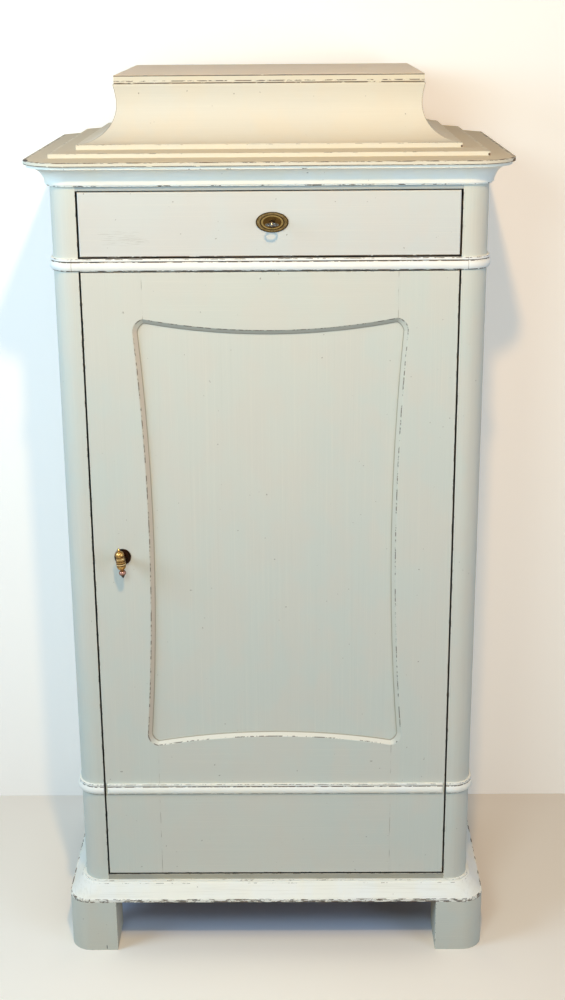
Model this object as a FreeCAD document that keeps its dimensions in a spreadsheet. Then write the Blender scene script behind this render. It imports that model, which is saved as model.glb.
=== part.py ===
import FreeCAD, Part
import Sketcher
import math
import os

# A painted cupboard with one door, one drawer and a coved hood on its cornice.
# Millimetres. X runs along the front, Y to the back, Z up. The origin is on the floor
# under the middle of the whole cabinet. "Left" and "right" are as seen from the front.

SIZES = (
    # case
    ("case_width", 660, "outside of the posts"),
    ("case_depth", 462.5, "front of the posts to the back"),
    ("post_width", 41.3, "face of a post"),
    ("post_depth", 45, "side of a post"),
    ("post_round", 31, "radius of a post's outer corner"),
    ("side_thick", 18, "side boards"),
    ("back_thick", 10, "back boards"),
    ("back_rebate", 8, "how far the back boards lie into the sides"),
    ("back_tongue", 6, "tongue between two back boards"),
    ("bottom_thick", 21, "bottom board"),
    ("top_thick", 18, "top board under the cornice"),
    ("strip_height", 9.9, "bottom board seen above the base moulding"),
    ("top_rail_height", 38.6, "rail above the drawer"),
    ("top_rail_thick", 22, "rail above the drawer, front to back"),
    ("mid_rail_thick", 19, "rail between drawer and door"),
    ("mid_rail_depth", 60, "rail between drawer and door, front to back"),
    ("tenon", 18, "length of the rails' tenons in the posts"),
    ("tenon_thick", 10, "thickness of the rails' tenons"),
    ("shelf_thick", 16, "shelves"),
    ("shelf_setback", 50, "front of the posts to the front of a shelf"),
    ("cleat_thick", 16, "shelf cleats, across"),
    ("cleat_height", 20, "shelf cleats, up"),
    ("cleat_setback", 6, "cleat ends short of the shelf and of the back boards"),
    # feet and base moulding
    ("foot_height", 95, "feet"),
    ("foot_width", 82, "feet, across"),
    ("foot_depth", 82, "front feet, front to back"),
    ("back_foot_depth", 60, "back feet, front to back"),
    ("foot_round", 36, "radius of a front foot's outer corner"),
    ("base_height", 29.5, "base moulding"),
    ("base_reach", 26.5, "base moulding stands out from the case"),
    ("base_edge", 5, "upright edge at the foot of the base moulding"),
    ("base_fillet", 3, "upright fillet at the top of the base moulding"),
    ("base_fillet_reach", 4.5, "that fillet stands out from the case"),
    ("base_step", 1.5, "small steps beside edge and fillet"),
    ("base_joint", 11, "joint of the front length, from the side of the case"),
    # half-round moulding and lower band
    ("bead_height", 14.4, "half-round of the band"),
    ("bead_root", 2, "where the half-round starts"),
    ("bead_round", 8.6, "radius of the half-round"),
    ("quirk_height", 0.8, "groove over the half-round"),
    ("quirk_reach", 1.2, "depth left in the groove"),
    ("fillet_height", 3.8, "flat fillet over the groove"),
    ("fillet_reach", 3.6, "flat fillet stands out"),
    ("band_rise", 153.2, "underside of the lower band above the foot of the door"),
    ("band_short", 3, "door band ends short of the door's edges"),
    ("band_bevel", 3, "bevel on the ends of the door band"),
    # cornice
    ("cornice_overhang", 37.5, "cornice board beyond the case, front and sides"),
    ("cornice_edge", 5.5, "upright edge of the cornice board"),
    ("cornice_slope", 3.4, "rise of the cornice board to the lower step"),
    ("cornice_height", 31.8, "cornice moulding"),
    ("cornice_reach", 33, "top fillet of the cornice moulding stands out"),
    ("cornice_top_fillet", 4.5, "top fillet of the cornice moulding"),
    ("cornice_foot_fillet", 2.2, "foot fillet of the cornice moulding"),
    ("cornice_foot_reach", 4.5, "foot fillet stands out"),
    ("cornice_step", 2, "steps between fillets and hollow"),
    ("cornice_hollow", 26.5, "radius of the hollow"),
    # hood
    ("step_in", 41, "edge of the cornice board to the lower step"),
    ("lower_step_height", 6, "lower step"),
    ("lower_step_slope", 2.6, "rise of the lower step to the upper one"),
    ("upper_step_in", 37, "lower step to upper step"),
    ("upper_step_height", 6.8, "upper step"),
    ("inner_round", 6, "radius where the cornice slope meets the lower step"),
    ("cove_in", 2, "upper step to the foot of the cove"),
    ("cove_lip", 0.9, "upright lip at the foot of the cove"),
    ("cove_round", 55, "radius of the cove"),
    ("cove_flare", 3.9, "neck of the cove to its upper edge, outwards"),
    ("cove_rise", 81.5, "lip of the cove to its upper edge, up"),
    ("cove_cap", 2.5, "fillet over the cove"),
    ("cove_thick", 18, "thickness of the cove boards at the neck"),
    ("cove_foot", 50, "width of the cove boards on the step"),
    ("hood_top_in", 52.5, "foot of the cove to the edge of the top board"),
    ("hood_top_thick", 13, "top board of the hood"),
    ("hood_back_thick", 12, "back board of the hood"),
    # door
    ("door_height", 1038, "door"),
    ("door_thick", 24, "door"),
    ("door_gap", 3, "gap under and beside the door"),
    ("rail_gap", 2, "gap over the door and round the drawer"),
    ("stile_width", 90.7, "face of a stile"),
    ("door_tenon", 30, "length of the door rails' tenons"),
    ("door_tenon_thick", 8, "thickness of the door rails' tenons"),
    ("door_tenon_inset", 22, "tenons in from a rail's edges"),
    ("opening_top", 70.9, "top of the door to the corners of the panel opening"),
    ("opening_foot", 242.6, "foot of the door to the corners of the panel opening"),
    ("opening_spread", 16.5, "ends of the opening beyond the joints of stile and rail"),
    ("opening_corner", 21, "height of the small corner arcs"),
    ("rail_bow", 40, "most that the bowed edge of a door rail can rise"),
    ("corner_round", 21, "radius of the small corner arcs"),
    ("top_bow", 1048, "radius of the opening's top edge"),
    ("foot_bow", 1160, "radius of the opening's lower edge"),
    ("side_bow", 4150, "radius of the opening's side edges"),
    ("bevel_width", 8, "bevel round the opening, across"),
    ("bevel_depth", 5.5, "bevel round the opening, front to back"),
    ("panel_set", 7, "face of the panel behind the face of the door"),
    ("panel_thick", 10, "panel"),
    ("panel_rebate", 6, "rebate outside the opening"),
    ("panel_play", 1, "play of the panel in its rebate"),
    ("panel_bead", 7, "width of the beads behind the panel"),
    # pivot hinges
    ("pivot_in", 16, "pivot axis from the door's edge"),
    ("pivot_back", 8, "pivot axis behind the door's face"),
    ("pivot_radius", 4, "pivot pins"),
    ("pivot_length", 12, "pivot pins inside the door"),
    ("pivot_play", 0.06, "running clearance of the pivots and of the latch spindle"),
    ("hinge_thick", 2.5, "hinge plates"),
    ("hinge_width", 16, "hinge plates, front to back"),
    ("hinge_length", 42, "hinge plates, across"),
    ("hinge_end", 12, "pivot axis to the near end of its plate"),
    ("wood_play", 0.6, "clearance of metal in drilled or chopped wood"),
    # latch on the door
    ("latch_in", 45.4, "spindle from the door's free edge"),
    ("latch_up", 581.1, "spindle above the foot of the door"),
    ("rosette_radius", 13.4, "rosette"),
    ("rosette_thick", 3, "rosette"),
    ("spindle_radius", 4, "latch spindle"),
    ("handle_out", 29, "axis of the handle in front of the door"),
    ("handle_half", 25.5, "half length of the handle"),
    ("tongue_length", 60, "spindle to the tip of the tongue"),
    ("tongue_width", 14, "tongue"),
    ("tongue_thick", 4, "tongue"),
    ("tongue_gap", 1.4, "door to tongue"),
    ("rosette_gap", 0.7, "rosette to handle"),
    ("latch_play", 2, "clearance of the tongue in its mortise"),
    ("strike_thick", 1.5, "strike plates"),
    ("strike_margin", 9, "latch strike beyond the tongue, front and back"),
    # drawer
    ("drawer_height", 96.8, "drawer front"),
    ("drawer_front_thick", 20, "drawer front"),
    ("drawer_clear", 22.5, "back of the drawer to the back boards"),
    ("drawer_side_thick", 12, "drawer sides and back"),
    ("drawer_side_low", 2, "drawer sides lower than the front"),
    ("drawer_side_lap", 12, "drawer sides let into the front"),
    ("drawer_bottom_thick", 8, "drawer bottom"),
    ("drawer_bottom_up", 7, "drawer bottom above the drawer's underside"),
    ("drawer_groove", 6, "drawer bottom in its grooves"),
    ("drawer_edge", 1.6, "rounding of the drawer front"),
    ("drawer_play", 0.4, "drawer above its runners and in front of its stops"),
    ("tail_wide", 24, "end of a dovetail"),
    ("tail_narrow", 17, "root of a dovetail"),
    ("drawer_side_play", 1.3, "drawer side to guide"),
    ("runner_width", 50, "drawer runners, across"),
    ("guide_height", 18, "guide strip on a runner"),
    ("kicker_thick", 16, "kickers over the drawer sides"),
    ("kicker_width", 50, "kickers, across"),
    ("dust_thick", 8, "dust board"),
    ("dust_groove", 6, "dust board in the runners and the rail"),
    ("stop_width", 36, "drawer stops, across"),
    ("stop_depth", 15, "drawer stops, front to back"),
    ("stop_thick", 6, "drawer stops, up"),
    ("stop_in", 150, "drawer stops from the middle"),
    # drawer lock
    ("key_side", 4.3, "keyhole from the middle of the drawer, to the right"),
    ("key_up", 51.4, "keyhole above the foot of the drawer front"),
    ("plate_width", 49, "escutcheon"),
    ("plate_height", 30.5, "escutcheon"),
    ("plate_thick", 1.4, "rim of the escutcheon"),
    ("plate_rise", 0.7, "raised ovals of the escutcheon"),
    ("plate_step", 4.5, "rim of the escutcheon outside each raised oval"),
    ("lock_width", 60, "lock case"),
    ("lock_foot", 18, "lock case below the keyhole"),
    ("lock_depth", 11, "lock case, front to back"),
    ("lock_wall", 1.5, "walls of the lock case"),
    ("bolt_width", 22, "lock bolt"),
    ("bolt_thick", 5, "lock bolt"),
    ("bolt_throw", 8, "lift of the lock bolt"),
    ("bolt_play", 0.5, "clearance round the lock bolt"),
    ("key_radius", 2.6, "shank of the key"),
    ("key_out", 19, "shank of the key in front of the drawer"),
    ("bit_length", 7, "bit of the key from its axis"),
    ("bit_height", 4.4, "bit of the key along its axis"),
    ("bit_thick", 2, "bit of the key"),
    ("bow_wide", 20, "bow of the key, across"),
    ("bow_long", 19, "bow of the key, along"),
    ("bow_wire", 1.5, "radius of the bow's wire"),
)

doc = FreeCAD.newDocument("bonnetiere_cabinet")
sheet = doc.addObject("Spreadsheet::Sheet", "Sizes")


class Size:
    """A length: its number, and the text that binds it to the sheet."""

    def __init__(self, number, text):
        self.number = float(number)
        self.text = text

    def join(self, sign, other, number):
        return Size(number, "(%s %s %s)" % (self.text, sign, other.text))

    def __add__(self, other):
        other = size(other)
        return self.join("+", other, self.number + other.number)

    def __sub__(self, other):
        other = size(other)
        return self.join("-", other, self.number - other.number)

    def __mul__(self, factor):
        factor = size(factor)
        return self.join("*", factor, self.number * factor.number)

    def __truediv__(self, divisor):
        divisor = size(divisor)
        return self.join("/", divisor, self.number / divisor.number)

    def __neg__(self):
        return Size(-self.number, "(-%s)" % self.text)

    def root(self):
        return Size(math.sqrt(self.number), "sqrt(%s)" % self.text)

    def __radd__(self, other):
        return size(other) + self

    def __rsub__(self, other):
        return size(other) - self


def size(value):
    if isinstance(value, Size):
        return value
    return Size(value, "%.6f" % value)


class Sizes:
    """The sheet's cells by their aliases."""


s = Sizes()
for row, (alias, number, note) in enumerate(SIZES, start=1):
    sheet.set("A%d" % row, note)
    sheet.set("B%d" % row, str(number))
    sheet.setAlias("B%d" % row, alias)
    setattr(s, alias, Size(number, "Sizes." + alias))
doc.recompute()


# ---------------------------------------------------------------- ways of making a piece

def bind(thing, name, value):
    thing.setExpression(name, size(value).text)


def place(thing, x, y, z):
    for axis, value in (("x", x), ("y", y), ("z", z)):
        bind(thing, ".Placement.Base." + axis, value)


def board(label, x, y, z):
    """A box from its low and high limits along each axis."""
    box = doc.addObject("Part::Box", label)
    bind(box, "Length", x[1] - size(x[0]))
    bind(box, "Width", y[1] - size(y[0]))
    bind(box, "Height", z[1] - size(z[0]))
    place(box, x[0], y[0], z[0])
    return box


def rod(label, radius, length, start, along="z"):
    """A round bar from its start point along Y or Z."""
    cylinder = doc.addObject("Part::Cylinder", label)
    bind(cylinder, "Radius", radius)
    bind(cylinder, "Height", length)
    if along == "y":
        cylinder.Placement = FreeCAD.Placement(
            FreeCAD.Vector(0, 0, 0), FreeCAD.Rotation(FreeCAD.Vector(1, 0, 0), -90))
    place(cylinder, *start)
    return cylinder


def fuse(label, *parts):
    union = doc.addObject("Part::MultiFuse", label)
    union.Shapes = list(parts)
    union.Refine = True
    return union


def cut(label, base, *tools):
    difference = doc.addObject("Part::Cut", label)
    difference.Base = base
    difference.Tool = tools[0] if len(tools) == 1 else fuse(label + "_tools", *tools)
    difference.Refine = True
    return difference


def common(label, base, tool):
    overlap = doc.addObject("Part::Common", label)
    overlap.Base = base
    overlap.Tool = tool
    overlap.Refine = True
    return overlap


def group(label, *parts):
    """Separate solids that share one sub-part."""
    compound = doc.addObject("Part::Compound", label)
    compound.Links = list(parts)
    return compound


def mirror(label, source):
    """The same piece on the other side of the middle plane."""
    copy = doc.addObject("Part::Mirroring", label)
    copy.Source = source
    copy.Base = FreeCAD.Vector(0, 0, 0)
    copy.Normal = FreeCAD.Vector(1, 0, 0)
    return copy


def new_body(label):
    return doc.addObject("PartDesign::Body", label)


def new_sketch(body, role, shift=(0, 0, 0)):
    """A sketch on one of the body's own origin planes; shift is across, up and off the plane."""
    sketch = body.newObject("Sketcher::SketchObject", body.Label + "_sketch")
    for feature in body.Origin.OriginFeatures:
        if feature.Role == role:
            sketch.AttachmentSupport = (feature, [""])
    sketch.MapMode = "FlatFace"
    for axis, value in zip("xyz", shift):
        bind(sketch, ".AttachmentOffset.Base." + axis, value)
    return sketch


def arc_between(start, finish, radius, turn):
    """The short arc from start to finish; turn 1 bends to the left, -1 to the right."""
    chord = finish - start
    height = math.sqrt(max(radius ** 2 - chord.Length ** 2 / 4, 0))
    left = FreeCAD.Vector(-chord.y, chord.x, 0).normalize()
    centre = (start + finish) / 2 + left * turn * height
    first, last = (start, finish) if turn > 0 else (finish, start)
    angles = [math.atan2(end.y - centre.y, end.x - centre.x) for end in (first, last)]
    return Part.ArcOfCircle(Part.Circle(centre, FreeCAD.Vector(0, 0, 1), radius), *angles)


def constrain(sketch, kind, places, value):
    number = sketch.addConstraint(Sketcher.Constraint(kind, *places, value.number))
    bind(sketch, "Constraints[%d]" % number, value)


def draw(sketch, outline):
    """A closed outline. A point is (across, up), or (across, up, radius, turn) where the run
    to the next point is an arc."""
    points = [FreeCAD.Vector(size(p[0]).number, size(p[1]).number, 0) for p in outline]
    ends = []
    for index, point in enumerate(outline):
        start = points[index]
        finish = points[(index + 1) % len(outline)]
        if len(point) == 2:
            edge = sketch.addGeometry(Part.LineSegment(start, finish), False)
            ends.append((edge, 1, 2))
        else:
            arc = arc_between(start, finish, size(point[2]).number, point[3])
            edge = sketch.addGeometry(arc, False)
            ends.append((edge, 1, 2) if point[3] > 0 else (edge, 2, 1))
    for index, point in enumerate(outline):
        edge, start, finish = ends[index]
        following = ends[(index + 1) % len(ends)]
        sketch.addConstraint(
            Sketcher.Constraint("Coincident", edge, finish, following[0], following[1]))
        constrain(sketch, "DistanceX", (-1, 1, edge, start), size(point[0]))
        constrain(sketch, "DistanceY", (-1, 1, edge, start), size(point[1]))
        if len(point) == 4:
            constrain(sketch, "Radius", (edge,), size(point[2]))


def pad(body, role, shift, outline, length, backwards=False):
    sketch = new_sketch(body, role, shift)
    draw(sketch, outline)
    feature = body.newObject("PartDesign::Pad", body.Label + "_pad")
    feature.Profile = sketch
    bind(feature, "Length", length)
    feature.Reversed = backwards
    return feature


def pocket(body, role, shift, outline):
    """A pocket right through, both ways."""
    sketch = new_sketch(body, role, shift)
    draw(sketch, outline)
    feature = body.newObject("PartDesign::Pocket", body.Label + "_pocket")
    feature.Profile = sketch
    feature.Type = "ThroughAll"
    feature.Midplane = True
    return feature


def revolve(body, role, shift, outline, angle):
    """A turn about the sketch's own upright axis."""
    sketch = new_sketch(body, role, shift)
    draw(sketch, outline)
    feature = body.newObject("PartDesign::Revolution", body.Label + "_turn")
    feature.Profile = sketch
    feature.ReferenceAxis = (sketch, ["V_Axis"])
    feature.Angle = angle
    return feature


# ---------------------------------------------------------------- heights and planes

face = (s.cornice_overhang - s.case_depth) / 2      # front of posts, door and drawer
back = face + s.case_depth
half = s.case_width / 2
opening = half - s.post_width                       # inner face of a post
side_inner = half - s.side_thick
corner_x = half - s.post_round                      # axis of a post's rounded corner
corner_y = face + s.post_round

case_foot = s.foot_height
floor = case_foot + s.base_height + s.strip_height  # top of the bottom board
door_foot = floor + s.door_gap
door_top = door_foot + s.door_height
mid_foot = door_top + s.rail_gap
mid_top = mid_foot + s.mid_rail_thick
drawer_foot = mid_top + s.rail_gap
drawer_top = drawer_foot + s.drawer_height
top_rail_foot = drawer_top + s.rail_gap
case_top = top_rail_foot + s.top_rail_height
back_face = back - s.back_thick                     # front of the back boards


# ---------------------------------------------------------------- posts, sides and back

def post():
    """Right post: square stuff with its outer front corner rounded."""
    body = new_body("post_blank")
    outline = [(opening, face), (corner_x, face, s.post_round, 1), (half, corner_y),
               (half, face + s.post_depth), (opening, face + s.post_depth)]
    pad(body, "XY_Plane", (0, 0, case_foot), outline, case_top - case_foot)
    return body


def back_boards():
    """Three upright boards, tongued into each other."""
    edge = side_inner + s.back_rebate
    joint = edge / 3
    high = (case_foot, case_top)
    deep = (back_face, back)
    tongue_y = (back - s.back_thick * 2 / 3, back - s.back_thick / 3)
    middle = fuse(
        "back_middle",
        board("back_middle_board", (-joint, joint), deep, high),
        board("back_middle_tongues", (-joint - s.back_tongue, joint + s.back_tongue),
              tongue_y, high))
    right = cut("back_right", board("back_right_board", (joint, edge), deep, high), middle)
    return group("back_boards", mirror("back_left", right), middle, right)


post_blank = post()
back_panel = back_boards()
side_blank = board("side_blank", (side_inner, half), (face + s.post_depth, back),
                   (case_foot, case_top))


# ---------------------------------------------------------------- rails, boards and shelves

def rail(label, y, z):
    """A rail between the posts, with a tenon at each end."""
    middle_y = (y[0] + y[1]) / 2
    tenon_y = (middle_y - s.tenon_thick / 2, middle_y + s.tenon_thick / 2)
    long_half = opening + s.tenon
    return fuse(label, board(label + "_board", (-opening, opening), y, z),
                board(label + "_tenons", (-long_half, long_half), tenon_y, z))


rail_rear = face + s.mid_rail_depth
mid_rail_blank = rail("mid_rail_blank", (face, rail_rear), (mid_foot, mid_top))
top_rail_blank = rail("top_rail_blank", (face, face + s.top_rail_thick),
                      (top_rail_foot, case_top))


def case_board(label, front, z):
    """A board from side to side, notched round the posts."""
    post_rear = face + s.post_depth
    return fuse(label, board(label + "_front", (-opening, opening), (front, post_rear), z),
                board(label + "_rear", (-side_inner, side_inner), (post_rear, back_face), z))


bottom_blank = case_board("bottom_blank", face, (floor - s.bottom_thick, floor))
case_board("case_top", face + s.top_rail_thick, (case_top - s.top_thick, case_top))


def dust_board():
    middle = (mid_foot + mid_top) / 2
    reach = side_inner - s.runner_width + s.dust_groove
    return board("dust_board", (-reach, reach), (rail_rear - s.dust_groove, back_face),
                 (middle - s.dust_thick / 2, middle + s.dust_thick / 2))


dust = dust_board()
guide_inner = opening - s.door_gap + s.drawer_side_play
runner_top = drawer_foot - s.drawer_play


def drawer_runners():
    """Each runner carries a drawer side and its raised strip guides it; a kicker over the side
    keeps the open drawer from tipping."""
    runner = fuse(
        "runner_blank",
        board("runner_board", (side_inner - s.runner_width, side_inner), (rail_rear, back_face),
              (mid_foot, runner_top)),
        board("guide_board", (guide_inner, side_inner), (rail_rear, back_face),
              (runner_top, runner_top + s.guide_height)))
    runner_right = cut("runner_right", runner, dust)
    kicker = board("kicker_right", (side_inner - s.kicker_width, side_inner),
                   (face + s.post_depth, back_face),
                   (top_rail_foot, top_rail_foot + s.kicker_thick))
    group("drawer_runners", mirror("runner_left", runner_right), runner_right,
          mirror("kicker_left", kicker), kicker)


def drawer_stops():
    front = face + s.drawer_front_thick + s.drawer_play
    stop = board("stop_right", (s.stop_in, s.stop_in + s.stop_width),
                 (front, front + s.stop_depth), (mid_top, mid_top + s.stop_thick))
    group("drawer_stops", mirror("stop_left", stop), stop)


def shelves(count=3):
    """Shelves an even way apart, each on a cleat at either side."""
    cleats = []
    clear = (mid_foot - floor - s.shelf_thick * count) / (count + 1)
    for number in range(1, count + 1):
        low = floor + clear * number + s.shelf_thick * (number - 1)
        board("shelf_%d" % number, (-side_inner, side_inner), (face + s.shelf_setback, back_face),
              (low, low + s.shelf_thick))
        cleat = board("cleat_right_%d" % number, (side_inner - s.cleat_thick, side_inner),
                      (face + s.shelf_setback + s.cleat_setback, back_face - s.cleat_setback),
                      (low - s.cleat_height, low))
        cleats += [mirror("cleat_left_%d" % number, cleat), cleat]
    group("shelf_cleats", *cleats)


drawer_runners()
drawer_stops()
shelves()


# ---------------------------------------------------------------- mouldings round the case

def band_profile(base, outward):
    """Half-round below, groove and flat fillet above. base is the coordinate of the case's
    face in the sketch, outward its sign."""
    top = s.bead_height + s.quirk_height + s.fillet_height

    def out(reach):
        return base + reach * outward

    return [(base, 0), (out(s.bead_root), 0, s.bead_round, outward),
            (out(s.bead_root), s.bead_height), (out(s.quirk_reach), s.bead_height),
            (out(s.quirk_reach), s.bead_height + s.quirk_height),
            (out(s.fillet_reach), s.bead_height + s.quirk_height),
            (out(s.fillet_reach), top), (base, top)]


def cornice_profile(base, outward):
    """Small fillet, hollow and top fillet, under the cornice board."""
    def out(reach):
        return base + reach * outward

    hollow_foot = s.cornice_foot_fillet
    hollow_top = s.cornice_height - s.cornice_top_fillet
    return [(base, 0), (out(s.cornice_foot_reach), 0), (out(s.cornice_foot_reach), hollow_foot),
            (out(s.cornice_foot_reach + s.cornice_step), hollow_foot, s.cornice_hollow, -outward),
            (out(s.cornice_reach - s.cornice_step), hollow_top),
            (out(s.cornice_reach), hollow_top), (out(s.cornice_reach), s.cornice_height),
            (base, s.cornice_height)]


def front_length(label, profile, reach, height):
    """The straight front length of a moulding, as far as the corners."""
    body = new_body(label)
    pad(body, "YZ_Plane", (face, height, -reach), profile(size(0), -1), reach * 2)
    return body


def return_length(label, profile, start, height):
    """The right return: from start round the post's corner and back along the side."""
    body = new_body(label)
    if start is not corner_x:
        pad(body, "YZ_Plane", (face, height, start), profile(size(0), -1), corner_x - start)
    revolve(body, "YZ_Plane", (corner_y, height, corner_x), profile(-s.post_round, -1), 90)
    pad(body, "XZ_Plane", (corner_x, height, -corner_y), profile(s.post_round, 1),
        back - corner_y, backwards=True)
    return body


def moulding(label, profile, height):
    front_length(label + "_front", profile, corner_x, height)
    mirror(label + "_left", return_length(label + "_right", profile, corner_x, height))


band_foot = door_foot + s.band_rise
moulding("mid_moulding", band_profile, mid_foot)
moulding("cornice_moulding", cornice_profile, case_top - s.cornice_height)
mirror("post_band_left", return_length("post_band_right", band_profile, opening, band_foot))


# ---------------------------------------------------------------- boards with sloping edges

def rounded_outline(reach, radius):
    """The case's plan made larger by reach at the front and the sides."""
    side = half + reach
    front = face - reach
    return [(-side, back), (-side, front + radius, radius, 1), (radius - side, front),
            (side - radius, front, radius, 1), (side, front + radius), (side, back)]


def square_outline(reach):
    side = half + reach
    return [(-side, back), (-side, face - reach), (side, face - reach), (side, back)]


def slope(body, low, low_z, high, high_z):
    """A loft between two outlines."""
    sketches = []
    for outline, height in ((low, low_z), (high, high_z)):
        sketch = new_sketch(body, "XY_Plane", (0, 0, height))
        draw(sketch, outline)
        sketches.append(sketch)
    loft = body.newObject("PartDesign::AdditiveLoft", body.Label + "_slope")
    loft.Profile = sketches[0]
    loft.Sections = [sketches[1]]
    loft.Ruled = True
    return loft


def base_moulding():
    """Edge, long slope and top fillet, round the foot of the case. The outer corners keep one
    radius from top to foot, so the front and the returns are cut from one ring."""
    ring = new_body("base_ring")
    edge_top = case_foot + s.base_edge
    fillet_foot = case_foot + s.base_height - s.base_fillet
    pad(ring, "XY_Plane", (0, 0, case_foot), rounded_outline(s.base_reach, s.foot_round),
        s.base_edge)
    slope(ring, rounded_outline(s.base_reach - s.base_step, s.foot_round), edge_top,
          rounded_outline(s.base_fillet_reach + s.base_step, s.foot_round), fillet_foot)
    pad(ring, "XY_Plane", (0, 0, fillet_foot), rounded_outline(s.base_fillet_reach, s.foot_round),
        s.base_fillet)
    core = new_body("base_core")
    pad(core, "XY_Plane", (0, 0, case_foot), rounded_outline(size(0), s.post_round), s.base_height)
    hollow = cut("base_hollow", ring, core)
    joint = half - s.base_joint
    outside = half + s.base_reach * 2
    deep = (face - s.base_reach * 2, face)
    high = (case_foot, case_foot + s.base_height)
    common("base_moulding_front", hollow, board("base_front_part", (-joint, joint), deep, high))
    right = cut("base_right_part", board("base_side_part", (0, outside),
                                         (deep[0], back), high),
                board("base_front_gap", (-joint, joint), deep, high))
    mirror("base_moulding_left", common("base_moulding_right", hollow, right))


def feet():
    foot_half = half + s.base_reach
    front = face - s.base_reach
    body = new_body("foot_front_right")
    outline = [(foot_half - s.foot_width, front),
               (foot_half - s.foot_round, front, s.foot_round, 1),
               (foot_half, front + s.foot_round), (foot_half, front + s.foot_depth),
               (foot_half - s.foot_width, front + s.foot_depth)]
    pad(body, "XY_Plane", (0, 0, 0), outline, s.foot_height)
    mirror("foot_front_left", body)
    rear = board("foot_back_right", (foot_half - s.foot_width, foot_half),
                 (back - s.back_foot_depth, back), (0, s.foot_height))
    group("feet_back", mirror("foot_back_left", rear), rear)


def cornice_and_steps():
    edge_top = case_top + s.cornice_edge
    step_foot = edge_top + s.cornice_slope
    reach = s.cornice_overhang
    step_reach = reach - s.step_in
    body = new_body("cornice_board")
    pad(body, "XY_Plane", (0, 0, case_top), rounded_outline(reach, s.post_round + reach),
        s.cornice_edge)
    slope(body, rounded_outline(reach, s.post_round + reach), edge_top,
          rounded_outline(step_reach, s.inner_round), step_foot)
    lower = new_body("hood_step_lower")
    upper_reach = step_reach - s.upper_step_in
    lower_top = step_foot + s.lower_step_height
    pad(lower, "XY_Plane", (0, 0, step_foot), square_outline(step_reach), s.lower_step_height)
    slope(lower, square_outline(step_reach), lower_top, square_outline(upper_reach),
          lower_top + s.lower_step_slope)
    upper = new_body("hood_step_upper")
    pad(upper, "XY_Plane", (0, 0, lower_top + s.lower_step_slope), square_outline(upper_reach),
        s.upper_step_height)
    return upper_reach, lower_top + s.lower_step_slope + s.upper_step_height


base_moulding()
feet()
step_reach, hood_foot = cornice_and_steps()


# ---------------------------------------------------------------- coved hood

cove_half = half + step_reach - s.cove_in           # foot of the cove, sides
cove_front = face - step_reach + s.cove_in          # foot of the cove, front
cove_height = s.cove_lip + s.cove_rise + s.cove_cap
cove_inner = s.cove_round + s.cove_thick


def cove_outline(base, inward):
    """A hollow board: lip, cove and fillet outside, straight inside. The cove is rounder below
    its neck than above it."""
    def at(depth):
        return base + depth * inward

    neck = s.cove_lip + s.cove_round
    edge = s.cove_round - s.cove_flare
    above = s.cove_rise - s.cove_round
    upper_round = (above * above + s.cove_flare * s.cove_flare) / (s.cove_flare * 2)
    return [(base, 0), (at(s.cove_foot), 0), (at(cove_inner), neck), (at(cove_inner), cove_height),
            (at(edge), cove_height),
            (at(edge), s.cove_lip + s.cove_rise, upper_round, -inward),
            (at(s.cove_round), neck, s.cove_round, -inward), (base, s.cove_lip)]


def mitre(body, x_sign):
    """Cuts the end of the front cove, or the front of the side cove, at 45 degrees."""
    far = s.cove_round * 3
    corner_at = (cove_half * x_sign, cove_front)
    inside = (cove_half * x_sign - far * x_sign, cove_front + far)
    if body.Label == "hood_cove_front":
        third = (cove_half * x_sign, cove_front + far)
    else:
        third = (cove_half * x_sign - far * x_sign, cove_front)
    pocket(body, "XY_Plane", (0, 0, 0), [corner_at, inside, third])


def hood():
    front = new_body("hood_cove_front")
    pad(front, "YZ_Plane", (cove_front, hood_foot, -cove_half), cove_outline(size(0), 1),
        cove_half * 2)
    mitre(front, 1)
    mitre(front, -1)
    side = new_body("hood_cove_right")
    pad(side, "XZ_Plane", (0, hood_foot, -cove_front), cove_outline(cove_half, -1),
        back - cove_front, backwards=True)
    mitre(side, 1)
    mirror("hood_cove_left", side)
    top_half = cove_half - s.hood_top_in
    top_foot = hood_foot + cove_height
    board("hood_top", (-top_half, top_half), (cove_front + s.hood_top_in, back),
          (top_foot, top_foot + s.hood_top_thick))
    rear = new_body("hood_back")
    wide = cove_half - s.cove_foot
    narrow = cove_half - cove_inner
    neck = s.cove_lip + s.cove_round
    pad(rear, "XZ_Plane", (0, hood_foot, -(back - s.hood_back_thick)),
        [(-wide, 0), (wide, 0), (narrow, neck), (narrow, cove_height), (-narrow, cove_height),
         (-narrow, neck)], s.hood_back_thick, backwards=True)


hood()


# ---------------------------------------------------------------- door

door_half = opening - s.door_gap
stile_inner = door_half - s.stile_width
opening_wide = stile_inner + s.opening_spread
door_back = face + s.door_thick
opening_high = door_top - s.opening_top
opening_low = door_foot + s.opening_foot
pivot_x = door_half - s.pivot_in
pivot_y = face + s.pivot_back
latch_x = s.latch_in - door_half
latch_z = door_foot + s.latch_up


def opening_outline(inset):
    """The opening's outline, drawn in by inset: bowed top, foot and sides, and small corner arcs
    that meet the bowed rails on the joints with the stiles."""
    wide = opening_wide - inset
    point = stile_inner - inset * 0.2
    high = opening_high - inset
    low = opening_low + inset
    shoulder_high = opening_high - s.opening_corner
    shoulder_low = opening_low + s.opening_corner
    corner = s.corner_round - inset * 0.3
    return [(-point, low, s.foot_bow, -1), (point, low, corner, 1),
            (wide, shoulder_low, s.side_bow + inset, -1), (wide, shoulder_high, corner, 1),
            (point, high, s.top_bow + inset, -1), (-point, high, corner, 1),
            (-wide, shoulder_high, s.side_bow + inset, -1), (-wide, shoulder_low, corner, 1)]


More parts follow.
